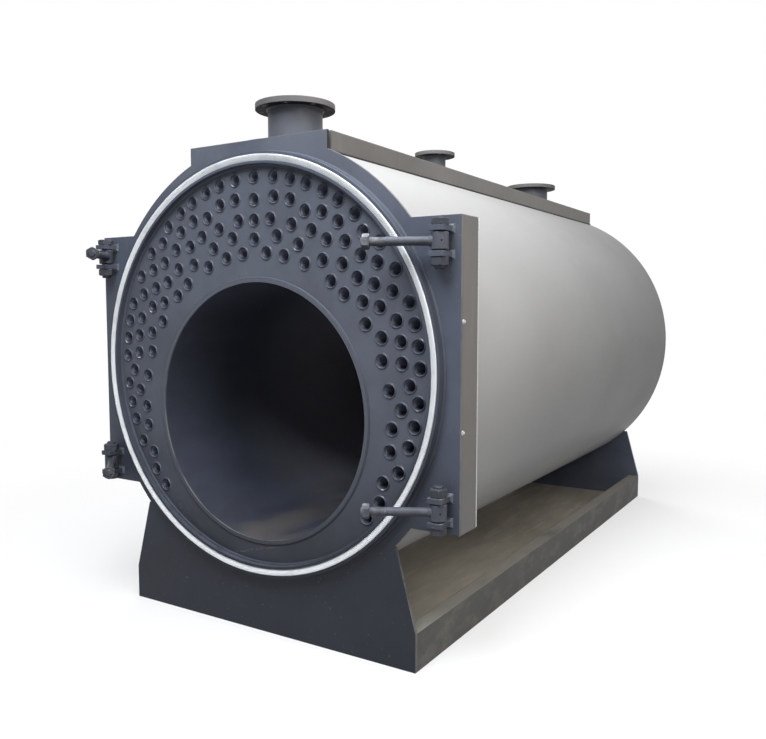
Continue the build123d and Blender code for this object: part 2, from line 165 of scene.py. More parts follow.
# Top cover: painted shade near the front; dust and painted light towards the back
SHADED_COVER_DEPTHS = (FRONT + 1.4, FRONT)
DUSTY_LIT_COVER_DEPTHS = (FRONT + 1.2, REAR)
RUBBED_REACH = (0.64, 0.59)             # swing bolts are rubbed this far from the centre line
DEEP_SHADE = (0.0, 0.0, 0.0)
WHITE = (1.0, 1.0, 1.0)

# Camera and lamps: place, size and colour of each lamp
CAMERA_PLACE = (2.01058, -3.83422, 1.27899)
CAMERA_TILT, CAMERA_TURN = 85.39, 31.92
SENSOR_WIDTH = 36.0
LAMPS = {
    "top": ((0.9, -1.1, 4.3), 3.0, WHITE),
    "side": ((3.1, -2.6, 3.0), 2.0, (1.0, 0.95, 0.88)),
    "front": ((0.5, -3.4, 3.9), 1.8, (0.88, 0.93, 1.0)),
    "back": ((-3.0, 3.6, 3.2), 2.5, (1.0, 0.98, 0.95)),
}
BOILER_TARGET = Vector((0.0, -0.6, AXIS))
FRONT_TARGET = Vector((0.0, FRONT, AXIS + 0.3))
FLOOR_WIDTH = 60.0
FLOOR_DROP = 0.0005         # floor below the base, so that the two don't flicker


def inner_row_reach(angle):
    """Distance from the shell axis to the inner row's circle, along an angle from the top."""
    turned = math.radians(angle)
    across = math.sqrt(INNER_ROW_RADIUS**2 - (FURNACE_DROP * math.sin(turned)) ** 2)
    return across - FURNACE_DROP * math.cos(turned)


def tube_places():
    """Centres (X, Z) of all fire tubes."""
    half = [(OUTER_ROW_RADIUS, angle, AXIS) for angle in OUTER_ROW_ANGLES]
    half += [(INNER_ROW_RADIUS, angle, FURNACE_AXIS) for angle in INNER_ROW_ANGLES]
    for angle, share in BETWEEN_ANGLES_SHARES:
        near = inner_row_reach(angle)
        half.append((near + share * (OUTER_ROW_RADIUS - near), angle, AXIS))
    places = []
    for reach, angle, height in half:
        for side in RIGHT_AND_LEFT:
            across = side * reach * math.sin(math.radians(angle))
            places.append((across, height + reach * math.cos(math.radians(angle))))
    near = inner_row_reach(0)
    for share in CENTRE_SHARES:
        places.append((0.0, AXIS + near + share * (OUTER_ROW_RADIUS - near)))
    return places


def colour(name, description, *default):
    """A colour that a user may change."""
    return FloatVectorProperty(
        name=name, description=description, default=default, subtype="COLOR", size=3, min=0.0, max=1.0
    )


def length(name, description, default):
    """A length that a user may change."""
    return FloatProperty(
        name=name, description=description, default=default, min=0.0, unit="LENGTH", precision=4
    )


def power(name, description, default):
    """A lamp's power that a user may change."""
    return FloatProperty(name=name, description=description, default=default, min=0.0, unit="POWER")


class BoilerFinishes(PropertyGroup):
    """Colours of the boiler's paints, sheets and dust; some are lightened or darkened as painted light and
    shade
    """

    plate_paint: colour("Plate paint", "Blue-grey paint of the front plate and lugs", 0.082, 0.094, 0.126)
    # Lighter than the front plate's paint, as painted light on the shaded rear
    rear_paint: colour("Rear paint", "Fresher paint of the rear plate and flue", 0.108, 0.126, 0.172)
    # Darker copy of the plate paint: painted shade on the seat, shell edge, left lugs, tube ends and welds
    seat_paint: colour("Seat paint", "Darker paint of the door seat and welds", 0.062, 0.071, 0.094)
    nozzle_paint: colour("Nozzle paint", "Dusty blue-grey paint of the nozzles", 0.085, 0.091, 0.114)
    flange_paint: colour("Flange paint", "Warm grey paint of the flanges", 0.135, 0.13, 0.133)
    # Worn paint on edges, also a painted highlight on the front plate's cut faces and the furnace mouth's rim
    worn_edge_and_highlight: colour("Cut edge", "Paint worn thin along the plates' cut edges", 0.2, 0.195, 0.19)
    plate_dust: colour("Plate dust", "Dust on the plates", 0.17, 0.165, 0.155)
    sheet_paint: colour("Tube sheet paint", "Paint of the tube sheet and furnace lip", 0.088, 0.097, 0.122)
    # Bare steel of the bores, made pale as painted light inside the tubes
    tube_bore_and_light: colour("Tube bores", "Bare inside of the fire tubes", 0.45, 0.48, 0.6)
    soot: colour("Soot", "Soot inside the fire tubes", 0.015, 0.016, 0.021)
    furnace_steel: colour("Furnace steel", "Bare plate of the furnace", 0.036, 0.041, 0.06)
    furnace_dust: colour("Furnace dust", "Dust and rust along the furnace's bottom", 0.078, 0.071, 0.069)
    # Pale scale deep in the furnace, mostly painted light there
    furnace_scale_and_light: colour("Furnace film", "Pale scale deep inside the furnace", 0.45, 0.44, 0.48)
    rope_white: colour("Rope", "Braided fibre rope of the door seat", 0.88, 0.9, 0.91)
    # Rope dirt, also painted shade in the creases of the braid
    rope_dirt_and_shade: colour("Rope dirt", "Dirt rubbed into the rope", 0.5, 0.5, 0.5)
    jacket_silver: colour("Jacket", "Smooth silver sheet round the boiler", 0.325, 0.325, 0.323)
    jacket_smudge: colour("Jacket smudges", "Dulled places on the jacket", 0.29, 0.288, 0.283)
    # Warm grey, lighter than the plates' paint: partly the casing's own colour, partly painted light
    casing_grey_and_light: colour("Casing", "Warm grey sheet of ear boxes and top cover", 0.155, 0.148, 0.141)
    casing_dust: colour("Casing dust", "Dust on the casing", 0.26, 0.245, 0.215)
    channel_paint: colour("Channel paint", "Dark grey paint of the base channels", 0.075, 0.075, 0.07)
    channel_dust: colour("Channel dust", "Dust along the base channels' tops", 0.265, 0.253, 0.222)
    # Floor sheet paint and dust made pale: their own colours and painted light under the boiler
    floor_paint_and_light: colour("Floor sheet", "Sheet under the boiler", 0.32, 0.297, 0.253)
    floor_dust_and_light: colour("Floor dust", "Brown dust on the floor sheet", 0.54, 0.5, 0.425)
    bolt_paint: colour("Bolt paint", "Grey paint on the right swing bolts", 0.08, 0.087, 0.108)
    # Darker paint: painted shade on the pins, their nuts and the left swing bolts
    pin_paint: colour("Pin paint", "Dark paint on the pins and left swing bolts", 0.046, 0.05, 0.063)
    rubbed_steel: colour("Rubbed steel", "Steel rubbed bare on nuts and rod ends", 0.32, 0.32, 0.33)
    # Dark strip colour: painted shadow under the top cover's edges
    seal: colour("Seal", "Dark seal under the top cover", 0.022, 0.021, 0.02)
    # Plated metal; also painted glints in the tube ends and bright lips standing in for a highlight
    zinc: colour("Zinc", "Plated screws and edge trim", 0.7, 0.7, 0.69)


class BoilerDetails(PropertyGroup):
    """Sizes of the details that Blender adds to the boiler"""

    weld_leg: length("Weld leg", "Leg of the fillet welds", 0.008)
    weld_pitch: length("Weld pitch", "Distance between two ripples of a weld", 0.008)
    weld_ripple: length("Weld ripple", "Depth of the ripples of a weld", 0.0006)
    tube_proud: length("Tube end", "Tube ends ahead of the tube sheet", 0.0045)
    tube_weld: length("Tube weld", "Width of the weld round a tube end", 0.0055)
    rope_lump: length("Rope lumps", "Height of the lumps in the rope", 0.003)
    rope_sunk: length("Rope slope", "Rope's inner edge behind its outer one", 0.0085)
    thread_pitch: length("Thread pitch", "Pitch of the swing bolts' thread", 0.0035)
    thread_length: length("Thread length", "Threaded end of a swing bolt", 0.085)
    eye_width: length("Eye", "Outside of a swing bolt's eye", 0.058)
    eye_chamfer: length("Eye chamfer", "Chamfer of a swing bolt's eye", 0.002)
    rod_width: length("Rod", "Thickness of a swing bolt's rod", 0.030)
    rod_length: length("Rod length", "Swing bolt from the pin to the rod's end", 0.258)
    nut_flats: length("Swing nut", "Width across the flats of a swing nut", 0.046)
    nut_height: length("Swing nut height", "Height of a swing nut", 0.025)
    nut_setback: length("Nut setback", "Rod's end beyond the swing nut", 0.004)
    pin_width: length("Pin", "Thickness of a hinge pin", 0.036)
    pin_flats: length("Pin head", "Width across the flats of a pin's head and nut", 0.055)
    pin_head: length("Pin head height", "Height of a pin's head", 0.0225)
    pin_nut: length("Pin nut height", "Height of a pin's nut", 0.029)
    screw_width: length("Screw", "Width of a casing screw's washer", 0.016)
    shadow_strip_width: length("Cover seal", "Width of the seal under the top cover's edges", 0.008)
    trim_width: length("Trim", "Width of the bright lip behind an ear box", 0.006)


class BoilerStage(PropertyGroup):
    """Camera, floor and lamps"""

    floor_colour: colour("Floor", "Pale floor under the boiler", 0.9, 0.9, 0.9)
    bounce_colour: colour("Floor bounce", "Floor as it lights the boiler from below", 0.3, 0.3, 0.3)
    sky_colour: colour("Sky light", "Soft light from above", 0.27, 0.28, 0.3)
    horizon_colour: colour("Horizon light", "Soft light from the sides", 0.08, 0.08, 0.085)
    lens: FloatProperty(name="Lens", description="Camera lens", default=37.05, subtype="DISTANCE_CAMERA")
    top_power: power("Top lamp", "Soft lamp above", 152.0)
    side_power: power("Side lamp", "Warm lamp at the right", 64.0)
    front_power: power("Front lamp", "Cool lamp in front", 125.0)
    back_power: power("Back lamp", "Lamp behind, at the left", 120.0)


class Socket:
    """An output of a node. Arithmetic on it adds Math nodes."""

    def __init__(self, nodes, output):
        self.nodes = nodes
        self.output = output

    def maths(self, operation, first, second=0.0):
        return self.nodes.node("ShaderNodeMath", {"operation": operation}, {0: first, 1: second})

    def __add__(self, other):
        return self.maths("ADD", self, other)

    def __radd__(self, other):
        return self.maths("ADD", other, self)

    def __sub__(self, other):
        return self.maths("SUBTRACT", self, other)

    def __rsub__(self, other):
        return self.maths("SUBTRACT", other, self)

    def __mul__(self, other):
        return self.maths("MULTIPLY", self, other)

    def __rmul__(self, other):
        return self.maths("MULTIPLY", other, self)

    def __pow__(self, other):
        return self.maths("POWER", self, other)

    def size(self):
        return self.maths("ABSOLUTE", self)

    def wave(self):
        return self.maths("SINE", self)

    def most(self, other):
        return self.maths("MAXIMUM", self, other)

    def ramp(self, low, high):
        """0 below low, 1 above high and a smooth step between; high may be the smaller."""
        ends = {"From Min": low, "From Max": high} if low < high else {
            "From Min": high, "From Max": low, "To Min": 1.0, "To Max": 0.0,
        }
        return self.nodes.node(
            "ShaderNodeMapRange", {"interpolation_type": "SMOOTHSTEP"}, {"Value": self, **ends}
        )


def find(sockets, key):
    """A node's socket by number, identifier or name."""
    if isinstance(key, int):
        return sockets[key]
    for socket in sockets:
        if socket.identifier == key:
            return socket
    return sockets[key]


def tint(hue, strength):
    """A colour made darker or lighter."""
    return [strength * part for part in hue]


class Nodes:
    """The nodes of one finish or light."""

    def __init__(self, tree):
        self.tree = tree

    def node(self, kind, settings=None, inputs=None, output=0):
        """Add a node: its settings first, then the values or links of its sockets."""
        made = self.tree.nodes.new(kind)
        for name, value in (settings or {}).items():
            setattr(made, name, value)
        for key, value in (inputs or {}).items():
            self.feed(find(made.inputs, key), value)
        return Socket(self, find(made.outputs, output))

    def feed(self, socket, value):
        """Link a socket to a node's output, or set its value."""
        if isinstance(value, Socket):
            self.tree.links.new(value.output, socket)
        elif socket.type == "RGBA":
            socket.default_value = (*value[:3], 1.0)
        else:
            socket.default_value = value

    def mix(self, share, first, second):
        """Colour between two colours."""
        return self.node(
            "ShaderNodeMix",
            {"data_type": "RGBA"},
            {"Factor_Float": share, "A_Color": first, "B_Color": second},
            "Result_Color",
        )

    def background_rays(self):
        """1 for what the camera, a mirror or a glass sees, 0 for light on other surfaces."""
        seen = self.node("ShaderNodeLightPath", output="Is Camera Ray")
        for ray in ("Is Glossy Ray", "Is Transmission Ray"):
            seen = seen.most(self.node("ShaderNodeLightPath", output=ray))
        return seen


class Finish(Nodes):
    """A procedural finish on Object coordinates, laid in coats over a first colour."""

    def __init__(self, name, hue):
        self.material = bpy.data.materials.new(name)
        self.material.use_nodes = True
        super().__init__(self.material.node_tree)
        self.shader = self.tree.nodes["Principled BSDF"]
        self.place = self.node("ShaderNodeTexCoord", output="Object")
        self.shade = hue

    def vary(self, patches, low, high):
        """Make the first colour darker and lighter in patches."""
        self.shade = self.mix(patches, tint(self.shade, low), tint(self.shade, high))

    def coat(self, share, hue):
        """Lay a colour over what is there, as far as share covers it."""
        self.shade = self.mix(share, self.shade, hue)

    def axes(self):
        """X, Y and Z of the place on the piece."""
        return [self.node("ShaderNodeSeparateXYZ", None, {0: self.place}, name) for name in "XYZ"]

    def facing(self, axis):
        """How far the surface faces along an axis, from -1 to 1."""
        normal = self.node("ShaderNodeTexCoord", output="Normal")
        return self.node("ShaderNodeSeparateXYZ", None, {0: normal}, axis)

    def noise(self, scale, detail=4.0, rough=0.55, stretch=(1.0, 1.0, 1.0), shift=0.0):
        """Soft noise from 0 to 1, with patches of about 1/scale metres."""
        place = self.node(
            "ShaderNodeMapping", None, {"Vector": self.place, "Location": (shift,) * 3, "Scale": stretch}
        )
        return self.node(
            "ShaderNodeTexNoise",
            None,
            {"Vector": place, "Scale": scale, "Detail": detail, "Roughness": rough},
        )

    def painted_shade_low_down(self):
        """1 near the floor at the front, where painted shade darkens the paint, 0 from mid height up."""
        _, along, height = self.axes()
        return height.ramp(*SHADE_HEIGHTS) * along.ramp(*SHADE_DEPTHS)

    def rounded(self, radius):
        """Normal of the surface with its edges rounded."""
        return self.node("ShaderNodeBevel", {"samples": 4}, {"Radius": radius})

    def edges(self, rounded):
        """1 on sharp edges, 0 on flat surfaces."""
        flat = self.node("ShaderNodeNewGeometry", output="Normal")
        same = self.node(
            "ShaderNodeVectorMath", {"operation": "DOT_PRODUCT"}, {0: rounded, 1: flat}, "Value"
        )
        return (1 - same).ramp(0.01, 0.16)

    def bump(self, height, distance, strength=1.0, normal=None):
        """Normal of a surface with a height on it, in metres."""
        inputs = {"Height": height, "Distance": distance, "Strength": strength}
        if normal is not None:
            inputs["Normal"] = normal
        return self.node("ShaderNodeBump", None, inputs)

    def surface(self, roughness, gloss, normal, **others):
        """Set the shader's sockets; an underscore in a name stands for a space."""
        self.feed(self.shader.inputs["Base Color"], self.shade)
        named = {"Roughness": roughness, "Specular_IOR_Level": gloss, "Normal": normal, **others}
        for name, value in named.items():
            self.feed(self.shader.inputs[name.replace("_", " ")], value)
        return self.material


def plate_finish(name, paint, edge, dust, under=0.0, gloss=0.22):
    """Sprayed paint on plate: mottled, dusty where it faces up, worn along its edges; painted shade low at
    the front, beside the top cover and, when under is set, where it faces down; a painted highlight on the
    cut faces.
    """
    finish = Finish(name, paint)
    _, along, height = finish.axes()
    rounded = finish.rounded(0.003)
    worn = finish.edges(rounded) * finish.noise(9.0, 5.0).ramp(0.3, 0.62)
    mottle = finish.noise(3.1, 5.0, 0.6)
    finish.vary(mottle.ramp(0.3, 0.7), 0.86, 1.12)
    streaks = finish.noise(7.0, 5.0, 0.6, (2.2, 2.2, 0.5), 4.0).ramp(0.6, 0.78)
    finish.coat(streaks * 0.3, dust)
    # painted shade low at the front
    finish.coat(finish.painted_shade_low_down() * 0.66, DEEP_SHADE)
    # lighter and warmer towards the top of the plates
    finish.coat(height.ramp(*LIGHTER_TOP_HEIGHTS) * mottle.ramp(0.25, 0.6) * 0.2, dust)
    finish.coat(finish.noise(70.0, 2.0, 0.5, shift=2.0).ramp(0.7, 0.76) * 0.35, dust)
    lying = finish.facing("Z").ramp(0.35, 0.95) * finish.noise(16.0, 6.0).ramp(0.15, 0.6)
    finish.coat(lying * 0.75, dust)
    front_plate = along.ramp(PLATE_BACK + 0.002, PLATE_BACK) * along.ramp(FRONT - 0.002, FRONT)
    cut_face = front_plate * finish.facing("Y").size().ramp(0.6, 0.2)
    bare_and_lit_face = cut_face * finish.noise(5.0, 4.0, shift=8.0).ramp(0.3, 0.6)
    # wear along the edges; the front plate's cut faces lightened, partly wear and partly a painted highlight
    finish.coat(worn.most(bare_and_lit_face) * 0.8, edge)
    # painted shadow: the front plate's cut faces beside the top cover darkened as a shaded gap
    shadow_beside_cover = finish.facing("X").size().ramp(0.85, 0.95) * height.ramp(COVER_LOW.z - 0.05, COVER_LOW.z)
    finish.coat(cut_face * shadow_beside_cover * 0.9, DEEP_SHADE)
    # painted shade on faces turned down, as strong as under
    finish.coat(finish.facing("Z").ramp(-0.4, -0.9) * under, DEEP_SHADE)
    peel = finish.noise(220.0, 2.0) + finish.noise(6.0, 3.0, shift=7.0) * 4.0
    roughness = 0.43 + mottle * 0.14 + lying * 0.3
    return finish.surface(roughness, gloss, finish.bump(peel, 0.0005, 0.6, rounded))


def flange_finish(name, paint, edge, dust):
    """Plate paint gone dull, with painted shade where it faces down."""
    return plate_finish(name, paint, edge, dust, under=0.85, gloss=0.03)


def sheet_finish(name, paint, bore, soot, dust):
    """Paint of the tube sheet: painted shade low at the front, bores paler deeper in as painted light, soot
    along the bottom of the bores that is partly painted shade, a scratch and a plugged hole.
    """
    finish = Finish(name, paint)
    across, depth, height = finish.axes()
    rounded = finish.rounded(0.0015)
    mottle = finish.noise(4.3, 5.0, 0.6)
    finish.vary(mottle.ramp(0.3, 0.7), 0.85, 1.14)
    scuffs = finish.noise(18.0, 5.0, 0.65, (1.0, 1.0, 0.6), 3.0).ramp(0.62, 0.74)
    finish.coat(scuffs * 0.3, dust)
    # painted shade low at the front
    finish.coat(finish.painted_shade_low_down() * 0.6, DEEP_SHADE)
    line = height - (SCRATCH_HEIGHT + across * SCRATCH_SLOPE) + (finish.noise(30.0, 3.0) - 0.5) * 0.03
    scratch = line.size().ramp(0.004, 0.001) * (across - SCRATCH_MIDDLE).size().ramp(0.16, 0.06)
    finish.coat(scratch * finish.noise(90.0, 2.0).ramp(0.4, 0.6) * 0.5, dust)
    reach = ((across - PLUG_ACROSS) ** 2 + (height - PLUG_HEIGHT) ** 2) ** 0.5
    plug = (reach - PLUG_RADIUS).size().ramp(0.0032, 0.001)
    finish.coat(plug * 0.4, soot)
    inside = depth - SHEET_FRONT
    # bores paler deeper in: bare steel and painted light
    bare = finish.mix(inside.ramp(0.015, 0.055), tint(bore, 0.65), bore)
    # soot on the lower walls that face up: soot and painted shade
    bare = finish.mix(finish.facing("Z").ramp(0.15, 0.7) * 0.8, bare, soot)
    finish.coat(inside.ramp(0.001, 0.006), bare)
    deep = inside.ramp(0.2, 0.7)
    finish.coat(deep, soot)
    peel = finish.noise(180.0, 2.0) + finish.noise(8.0, 3.0, shift=5.0) * 4.0 - plug * 2.0
    roughness = 0.45 + mottle * 0.12 + deep * 0.3
    return finish.surface(roughness, 0.22, finish.bump(peel, 0.0005, 0.6, rounded))


def tube_end_finish(name, paint, edge, bright):
    """Weld and lip of a tube end: painted, rubbed bare in places, with painted glints on the lower lips that
    face up.
    """
    finish = Finish(name, paint)
    proud = SHEET_FRONT - finish.axes()[1]
    finish.vary(finish.noise(36.0, 4.0).ramp(0.35, 0.65), 0.8, 1.15)
    lip = proud.ramp(0.0026, 0.0042) * finish.noise(34.0, 3.0, shift=1.0).ramp(0.5, 0.72)
    finish.coat(lip * 0.35, edge)
    # painted glints: bright spots on the lower lips that face up
    glint = finish.facing("Z").ramp(0.35, 0.7) * finish.noise(13.0, 2.0, shift=4.0).ramp(0.62, 0.68)
    finish.coat(glint * proud.ramp(0.0002, 0.002) * 0.6, bright)
    return finish.surface(0.45 - lip * 0.15, 0.25, finish.bump(finish.noise(260.0, 3.0), 0.0008, 0.7))


def furnace_finish(name, steel, dust, film, paint, edge):
    """Bare plate of the furnace: scale, paler deep inside as painted light, dust along the bottom, a painted
    lip with painted shade low down, and a painted highlight with wear along the mouth's inner rim.
    """
    finish = Finish(name, steel)
    _, depth, height = finish.axes()
    inside = depth - FURNACE_FRONT
    scale = finish.noise(5.0, 6.0, 0.65, (1.0, 0.5, 1.0))
    finish.vary(scale.ramp(0.3, 0.7), 0.8, 1.15)
    # paler deep inside: scale and painted light
    finish.coat(inside.ramp(0.35, 1.3) * 0.85, film)
    low = (height - (FURNACE_AXIS - FURNACE_RADIUS)).ramp(0.09, 0.01)
    drift = finish.noise(6.0, 5.0, 0.6, (1.0, 0.4, 1.0), 6.0).ramp(0.34, 0.62)
    lying = low * drift * finish.facing("Z").ramp(0.1, 0.5)
    finish.coat(lying * 0.85, dust)
    rust = finish.noise(14.0, 5.0, 0.7, (1.0, 0.3, 1.0), 9.0).ramp(0.58, 0.74)
    finish.coat(rust * 0.2, dust)
    # the lip's paint, a little darker than the sheet's, with painted shade low at the front
    lip_paint = finish.mix(finish.painted_shade_low_down() * 0.6, tint(paint, 0.88), DEEP_SHADE)
    finish.coat(inside.ramp(0.012, 0.003), lip_paint)
    # the mouth's inner rim lightened: wear and a painted highlight
    rubbed = inside.ramp(0.008, 0.004) * finish.facing("Y").size().ramp(0.6, 0.2)
    finish.coat(rubbed * finish.noise(9.0, 4.0, shift=3.0).ramp(0.25, 0.6) * 0.8, edge)
    roughness = 0.5 + scale * 0.2 + lying * 0.2
    return finish.surface(roughness, 0.4, finish.bump(finish.noise(60.0, 4.0) + scale * 3.0, 0.0009, 0.6))


def rope_finish(name, white, dirt_and_shade):
    """Braided fibre rope laid in a ring: plaits along the ring with painted shade in the creases between
    them, rubbed and dirty in places.
    """
    finish = Finish(name, white)
    across, _, height = finish.axes()
    up = height - AXIS
    around = finish.node("ShaderNodeMath", {"operation": "ARCTAN2"}, {0: up, 1: across}) * 300.0
    reach = ((across**2 + up**2) ** 0.5 - SHELL_RADIUS) * 380.0
    plait = (around + reach).wave().size() * (around - reach).wave().size()
    finish.coat(finish.noise(7.0, 5.0, 0.65).ramp(0.5, 0.74) * 0.55, dirt_and_shade)
    # painted shade in the creases between the plaits
    finish.coat((1 - plait) ** 3 * 0.35, dirt_and_shade)
    finish.coat(finish.noise(40.0, 4.0, shift=3.0).ramp(0.62, 0.75) * 0.35, dirt_and_shade)
    fibres = plait + finish.noise(500.0, 2.0) * 0.4
    return finish.surface(0.85, 0.25, finish.bump(fibres, 0.0016, 0.8), Sheen_Weight=0.15)


def jacket_finish(name, silver, smudge):
    """Smooth silver sheet with a slight roll in it, dulled in places; painted shade towards the back and low
    on the sides, painted light near the front and along the bottom.
    """
    finish = Finish(name, silver)
    _, along, height = finish.axes()
    roll = finish.noise(1.3, 2.0, 0.4, (1.0, 0.6, 1.0))
    fine = finish.noise(4.0, 3.0, 0.5, (1.0, 0.5, 1.0), 5.0)
    patch = finish.noise(2.1, 6.0, 0.62, (1.0, 0.7, 1.6), 2.0)
    grain = finish.noise(90.0, 3.0, 0.6, (6.0, 0.15, 6.0))
    finish.coat(patch.ramp(0.45, 0.75) * 0.5, smudge)
    finish.coat(grain.ramp(0.35, 0.7) * 0.12, smudge)
    # painted shade towards the back
    finish.coat(along.ramp(*SHADED_JACKET_DEPTHS) * 0.35, DEEP_SHADE)
    # painted light near the front, below the jacket's upper part
    finish.coat(along.ramp(*LIT_JACKET_DEPTHS) * height.ramp(*LIT_JACKET_HEIGHTS) * 0.5, tint(silver, 1.5))
    # painted shade low on the sides
    finish.coat(height.ramp(*SHADED_JACKET_HEIGHTS) * 0.14, DEEP_SHADE)
    # painted light along the bottom, where the floor would light it
    finish.coat(height.ramp(*BOUNCE_LIT_HEIGHTS) * 0.6, tint(silver, 1.5))
    roughness = 0.4 + patch * 0.14 + grain * 0.05
    return finish.surface(roughness, 0.18, finish.bump(roll * 6.0 + fine, 0.0022, 0.35), Metallic=0.12)


def casing_finish(name, paint, dust):
    """Satin paint on folded sheet with rolled edges; the top cover has painted shade near the front and turns
    lighter to the back, with dust and painted light.
    """
    finish = Finish(name, paint)
    _, along, height = finish.axes()
    rounded = finish.rounded(0.009)
    mottle = finish.noise(2.6, 5.0, 0.6)
    finish.vary(mottle.ramp(0.3, 0.7), 0.9, 1.1)
    streaks = finish.noise(9.0, 5.0, 0.6, (1.6, 1.6, 0.25), 1.0).ramp(0.55, 0.8)
    finish.coat(streaks * 0.3, dust)
    lying = finish.facing("Z").ramp(0.4, 0.95) * finish.noise(12.0, 6.0).ramp(0.15, 0.6)
    finish.coat(lying * 0.5, dust)
    finish.coat(finish.edges(rounded) * 0.45 * finish.noise(11.0, 4.0).ramp(0.3, 0.65), dust)
    cover = height.ramp(*COVER_HEIGHTS)
    # painted shade near the front of the top cover
    finish.coat(cover * along.ramp(*SHADED_COVER_DEPTHS) * 0.22, DEEP_SHADE)
    # dust and painted light towards the back of the top cover
    finish.coat(cover * along.ramp(*DUSTY_LIT_COVER_DEPTHS) * 0.35, dust)
    peel = finish.noise(240.0, 2.0) + mottle * 6.0
    roughness = 0.42 + mottle * 0.15 + lying * 0.2
    return finish.surface(roughness, 0.22, finish.bump(peel, 0.0005, 0.5, rounded))


def base_finish(name, paint, dust):
    """Paint on the base frame, under dust that thickens where it faces up."""
    finish = Finish(name, paint)
    rounded = finish.rounded(0.003)
    mottle = finish.noise(5.0, 6.0, 0.62)
    finish.vary(mottle.ramp(0.3, 0.7), 0.82, 1.18)
    film = finish.noise(11.0, 6.0, 0.66, (1.0, 0.45, 1.0), 3.0)
    finish.coat(film.ramp(0.42, 0.75) * 0.4, dust)
    drift = finish.noise(8.0, 6.0, 0.6, (1.0, 0.5, 1.0)).ramp(0.1, 0.5)
    lying = finish.facing("Z").ramp(0.4, 0.95) * drift
    finish.coat(lying * 0.9, dust)
    worn = finish.edges(rounded) * finish.noise(14.0, 4.0).ramp(0.35, 0.6)
    finish.coat(worn * 0.55, dust)
    grit = finish.noise(150.0, 4.0) + film * 2.0
    roughness = 0.55 + mottle * 0.15 + lying * 0.15
    return finish.surface(roughness, 0.35, finish.bump(grit, 0.0006, 0.6, rounded))


def floor_sheet_finish(name, paint, dust):
    """Sheet between the channels: brown dust in drifts and wiped streaks, both colours made pale as painted
    light under the boiler.
    """
    finish = Finish(name, paint)
    drift = finish.noise(2.4, 6.0, 0.66, (1.0, 0.4, 1.0))
    grit = finish.noise(95.0, 3.0, 0.6)
    finish.coat(drift.ramp(0.25, 0.7), dust)
    wiped = finish.noise(7.0, 4.0, 0.6, (3.0, 0.35, 1.0), 4.0)
    finish.coat(wiped.ramp(0.5, 0.72) * 0.4, tint(dust, 1.35))
    finish.coat(grit.ramp(0.6, 0.75) * 0.3, paint)
    return finish.surface(0.78 + drift * 0.12, 0.25, finish.bump(grit + drift * 2.0, 0.0008, 0.7))


def bolt_finish(name, paint, steel):
    """Painted swing bolt, rubbed to steel towards the nut and along the edges, with painted shade where it
    faces down.
    """
    finish = Finish(name, paint)
    rounded = finish.rounded(0.0015)
    finish.vary(finish.noise(24.0, 5.0, 0.62).ramp(0.3, 0.7), 0.82, 1.2)
    worn = finish.edges(rounded) * finish.noise(40.0, 4.0).ramp(0.3, 0.6)
    rubs = finish.noise(30.0, 5.0, 0.7, shift=2.0).ramp(0.4, 0.66)
    near_nut = finish.axes()[0].size().ramp(*RUBBED_REACH) * rubs
    bare = worn.most(near_nut * 0.75)
    finish.coat(bare, steel)
    # painted shade on faces turned down
    finish.coat(finish.facing("Z").ramp(0.1, -0.6) * 0.6, DEEP_SHADE)
    normal = finish.bump(finish.noise(300.0, 3.0), 0.0005, 0.6, rounded)
    return finish.surface(0.46 - bare * 0.1, 0.22, normal, Metallic=bare * 0.35)


def shadow_strip_finish(name, strip_shade, dust):
    """Dark strip that paints the shadow under the top cover's edges, with a little dust on it."""
    finish = Finish(name, strip_shade)
    film = finish.noise(14.0, 5.0, 0.6, (1.0, 0.3, 1.0))
    finish.coat(film.ramp(0.45, 0.75) * 0.2, dust)
    return finish.surface(0.7 + film * 0.15, 0.2, finish.bump(finish.noise(200.0, 3.0), 0.0004, 0.5))


def zinc_finish(name, zinc):
    """Bright plated metal with a fine spangle."""
    finish = Finish(name, zinc)
    spangle = finish.noise(160.0, 3.0)
    finish.vary(spangle.ramp(0.35, 0.65), 0.8, 1.0)
    return finish.surface(0.3 + spangle * 0.15, 0.5, finish.bump(spangle, 0.0003, 0.5), Metallic=0.75)


# Each finish with the colours that it is made from
FINISHES = {
    "plate_paint": (plate_finish, "plate_paint", "worn_edge_and_highlight", "plate_dust"),
    "rear_paint": (plate_finish, "rear_paint", "worn_edge_and_highlight", "plate_dust"),
    "seat_paint": (plate_finish, "seat_paint", "seat_paint", "plate_paint"),
    "nozzle_paint": (plate_finish, "nozzle_paint", "worn_edge_and_highlight", "plate_dust"),
    "flange_paint": (flange_finish, "flange_paint", "worn_edge_and_highlight", "plate_dust"),
    "tube_sheet_paint": (sheet_finish, "sheet_paint", "tube_bore_and_light", "soot", "plate_dust"),
    "tube_end_paint": (tube_end_finish, "seat_paint", "worn_edge_and_highlight", "zinc"),
    "furnace_plate": (
        furnace_finish, "furnace_steel", "furnace_dust", "furnace_scale_and_light", "sheet_paint", "worn_edge_and_highlight",
    ),
    "fibre_rope": (rope_finish, "rope_white", "rope_dirt_and_shade"),
    "silver_sheet": (jacket_finish, "jacket_silver", "jacket_smudge"),
    "casing_paint": (casing_finish, "casing_grey_and_light", "casing_dust"),
    "channel_paint": (base_finish, "channel_paint", "channel_dust"),
    "dusty_floor": (floor_sheet_finish, "floor_paint_and_light", "floor_dust_and_light"),
    "bolt_paint": (bolt_finish, "bolt_paint", "rubbed_steel"),
    "pin_paint": (bolt_finish, "pin_paint", "worn_edge_and_highlight"),
    "seal_rubber": (shadow_strip_finish, "seal", "casing_dust"),
    "zinc": (zinc_finish, "zinc"),
}
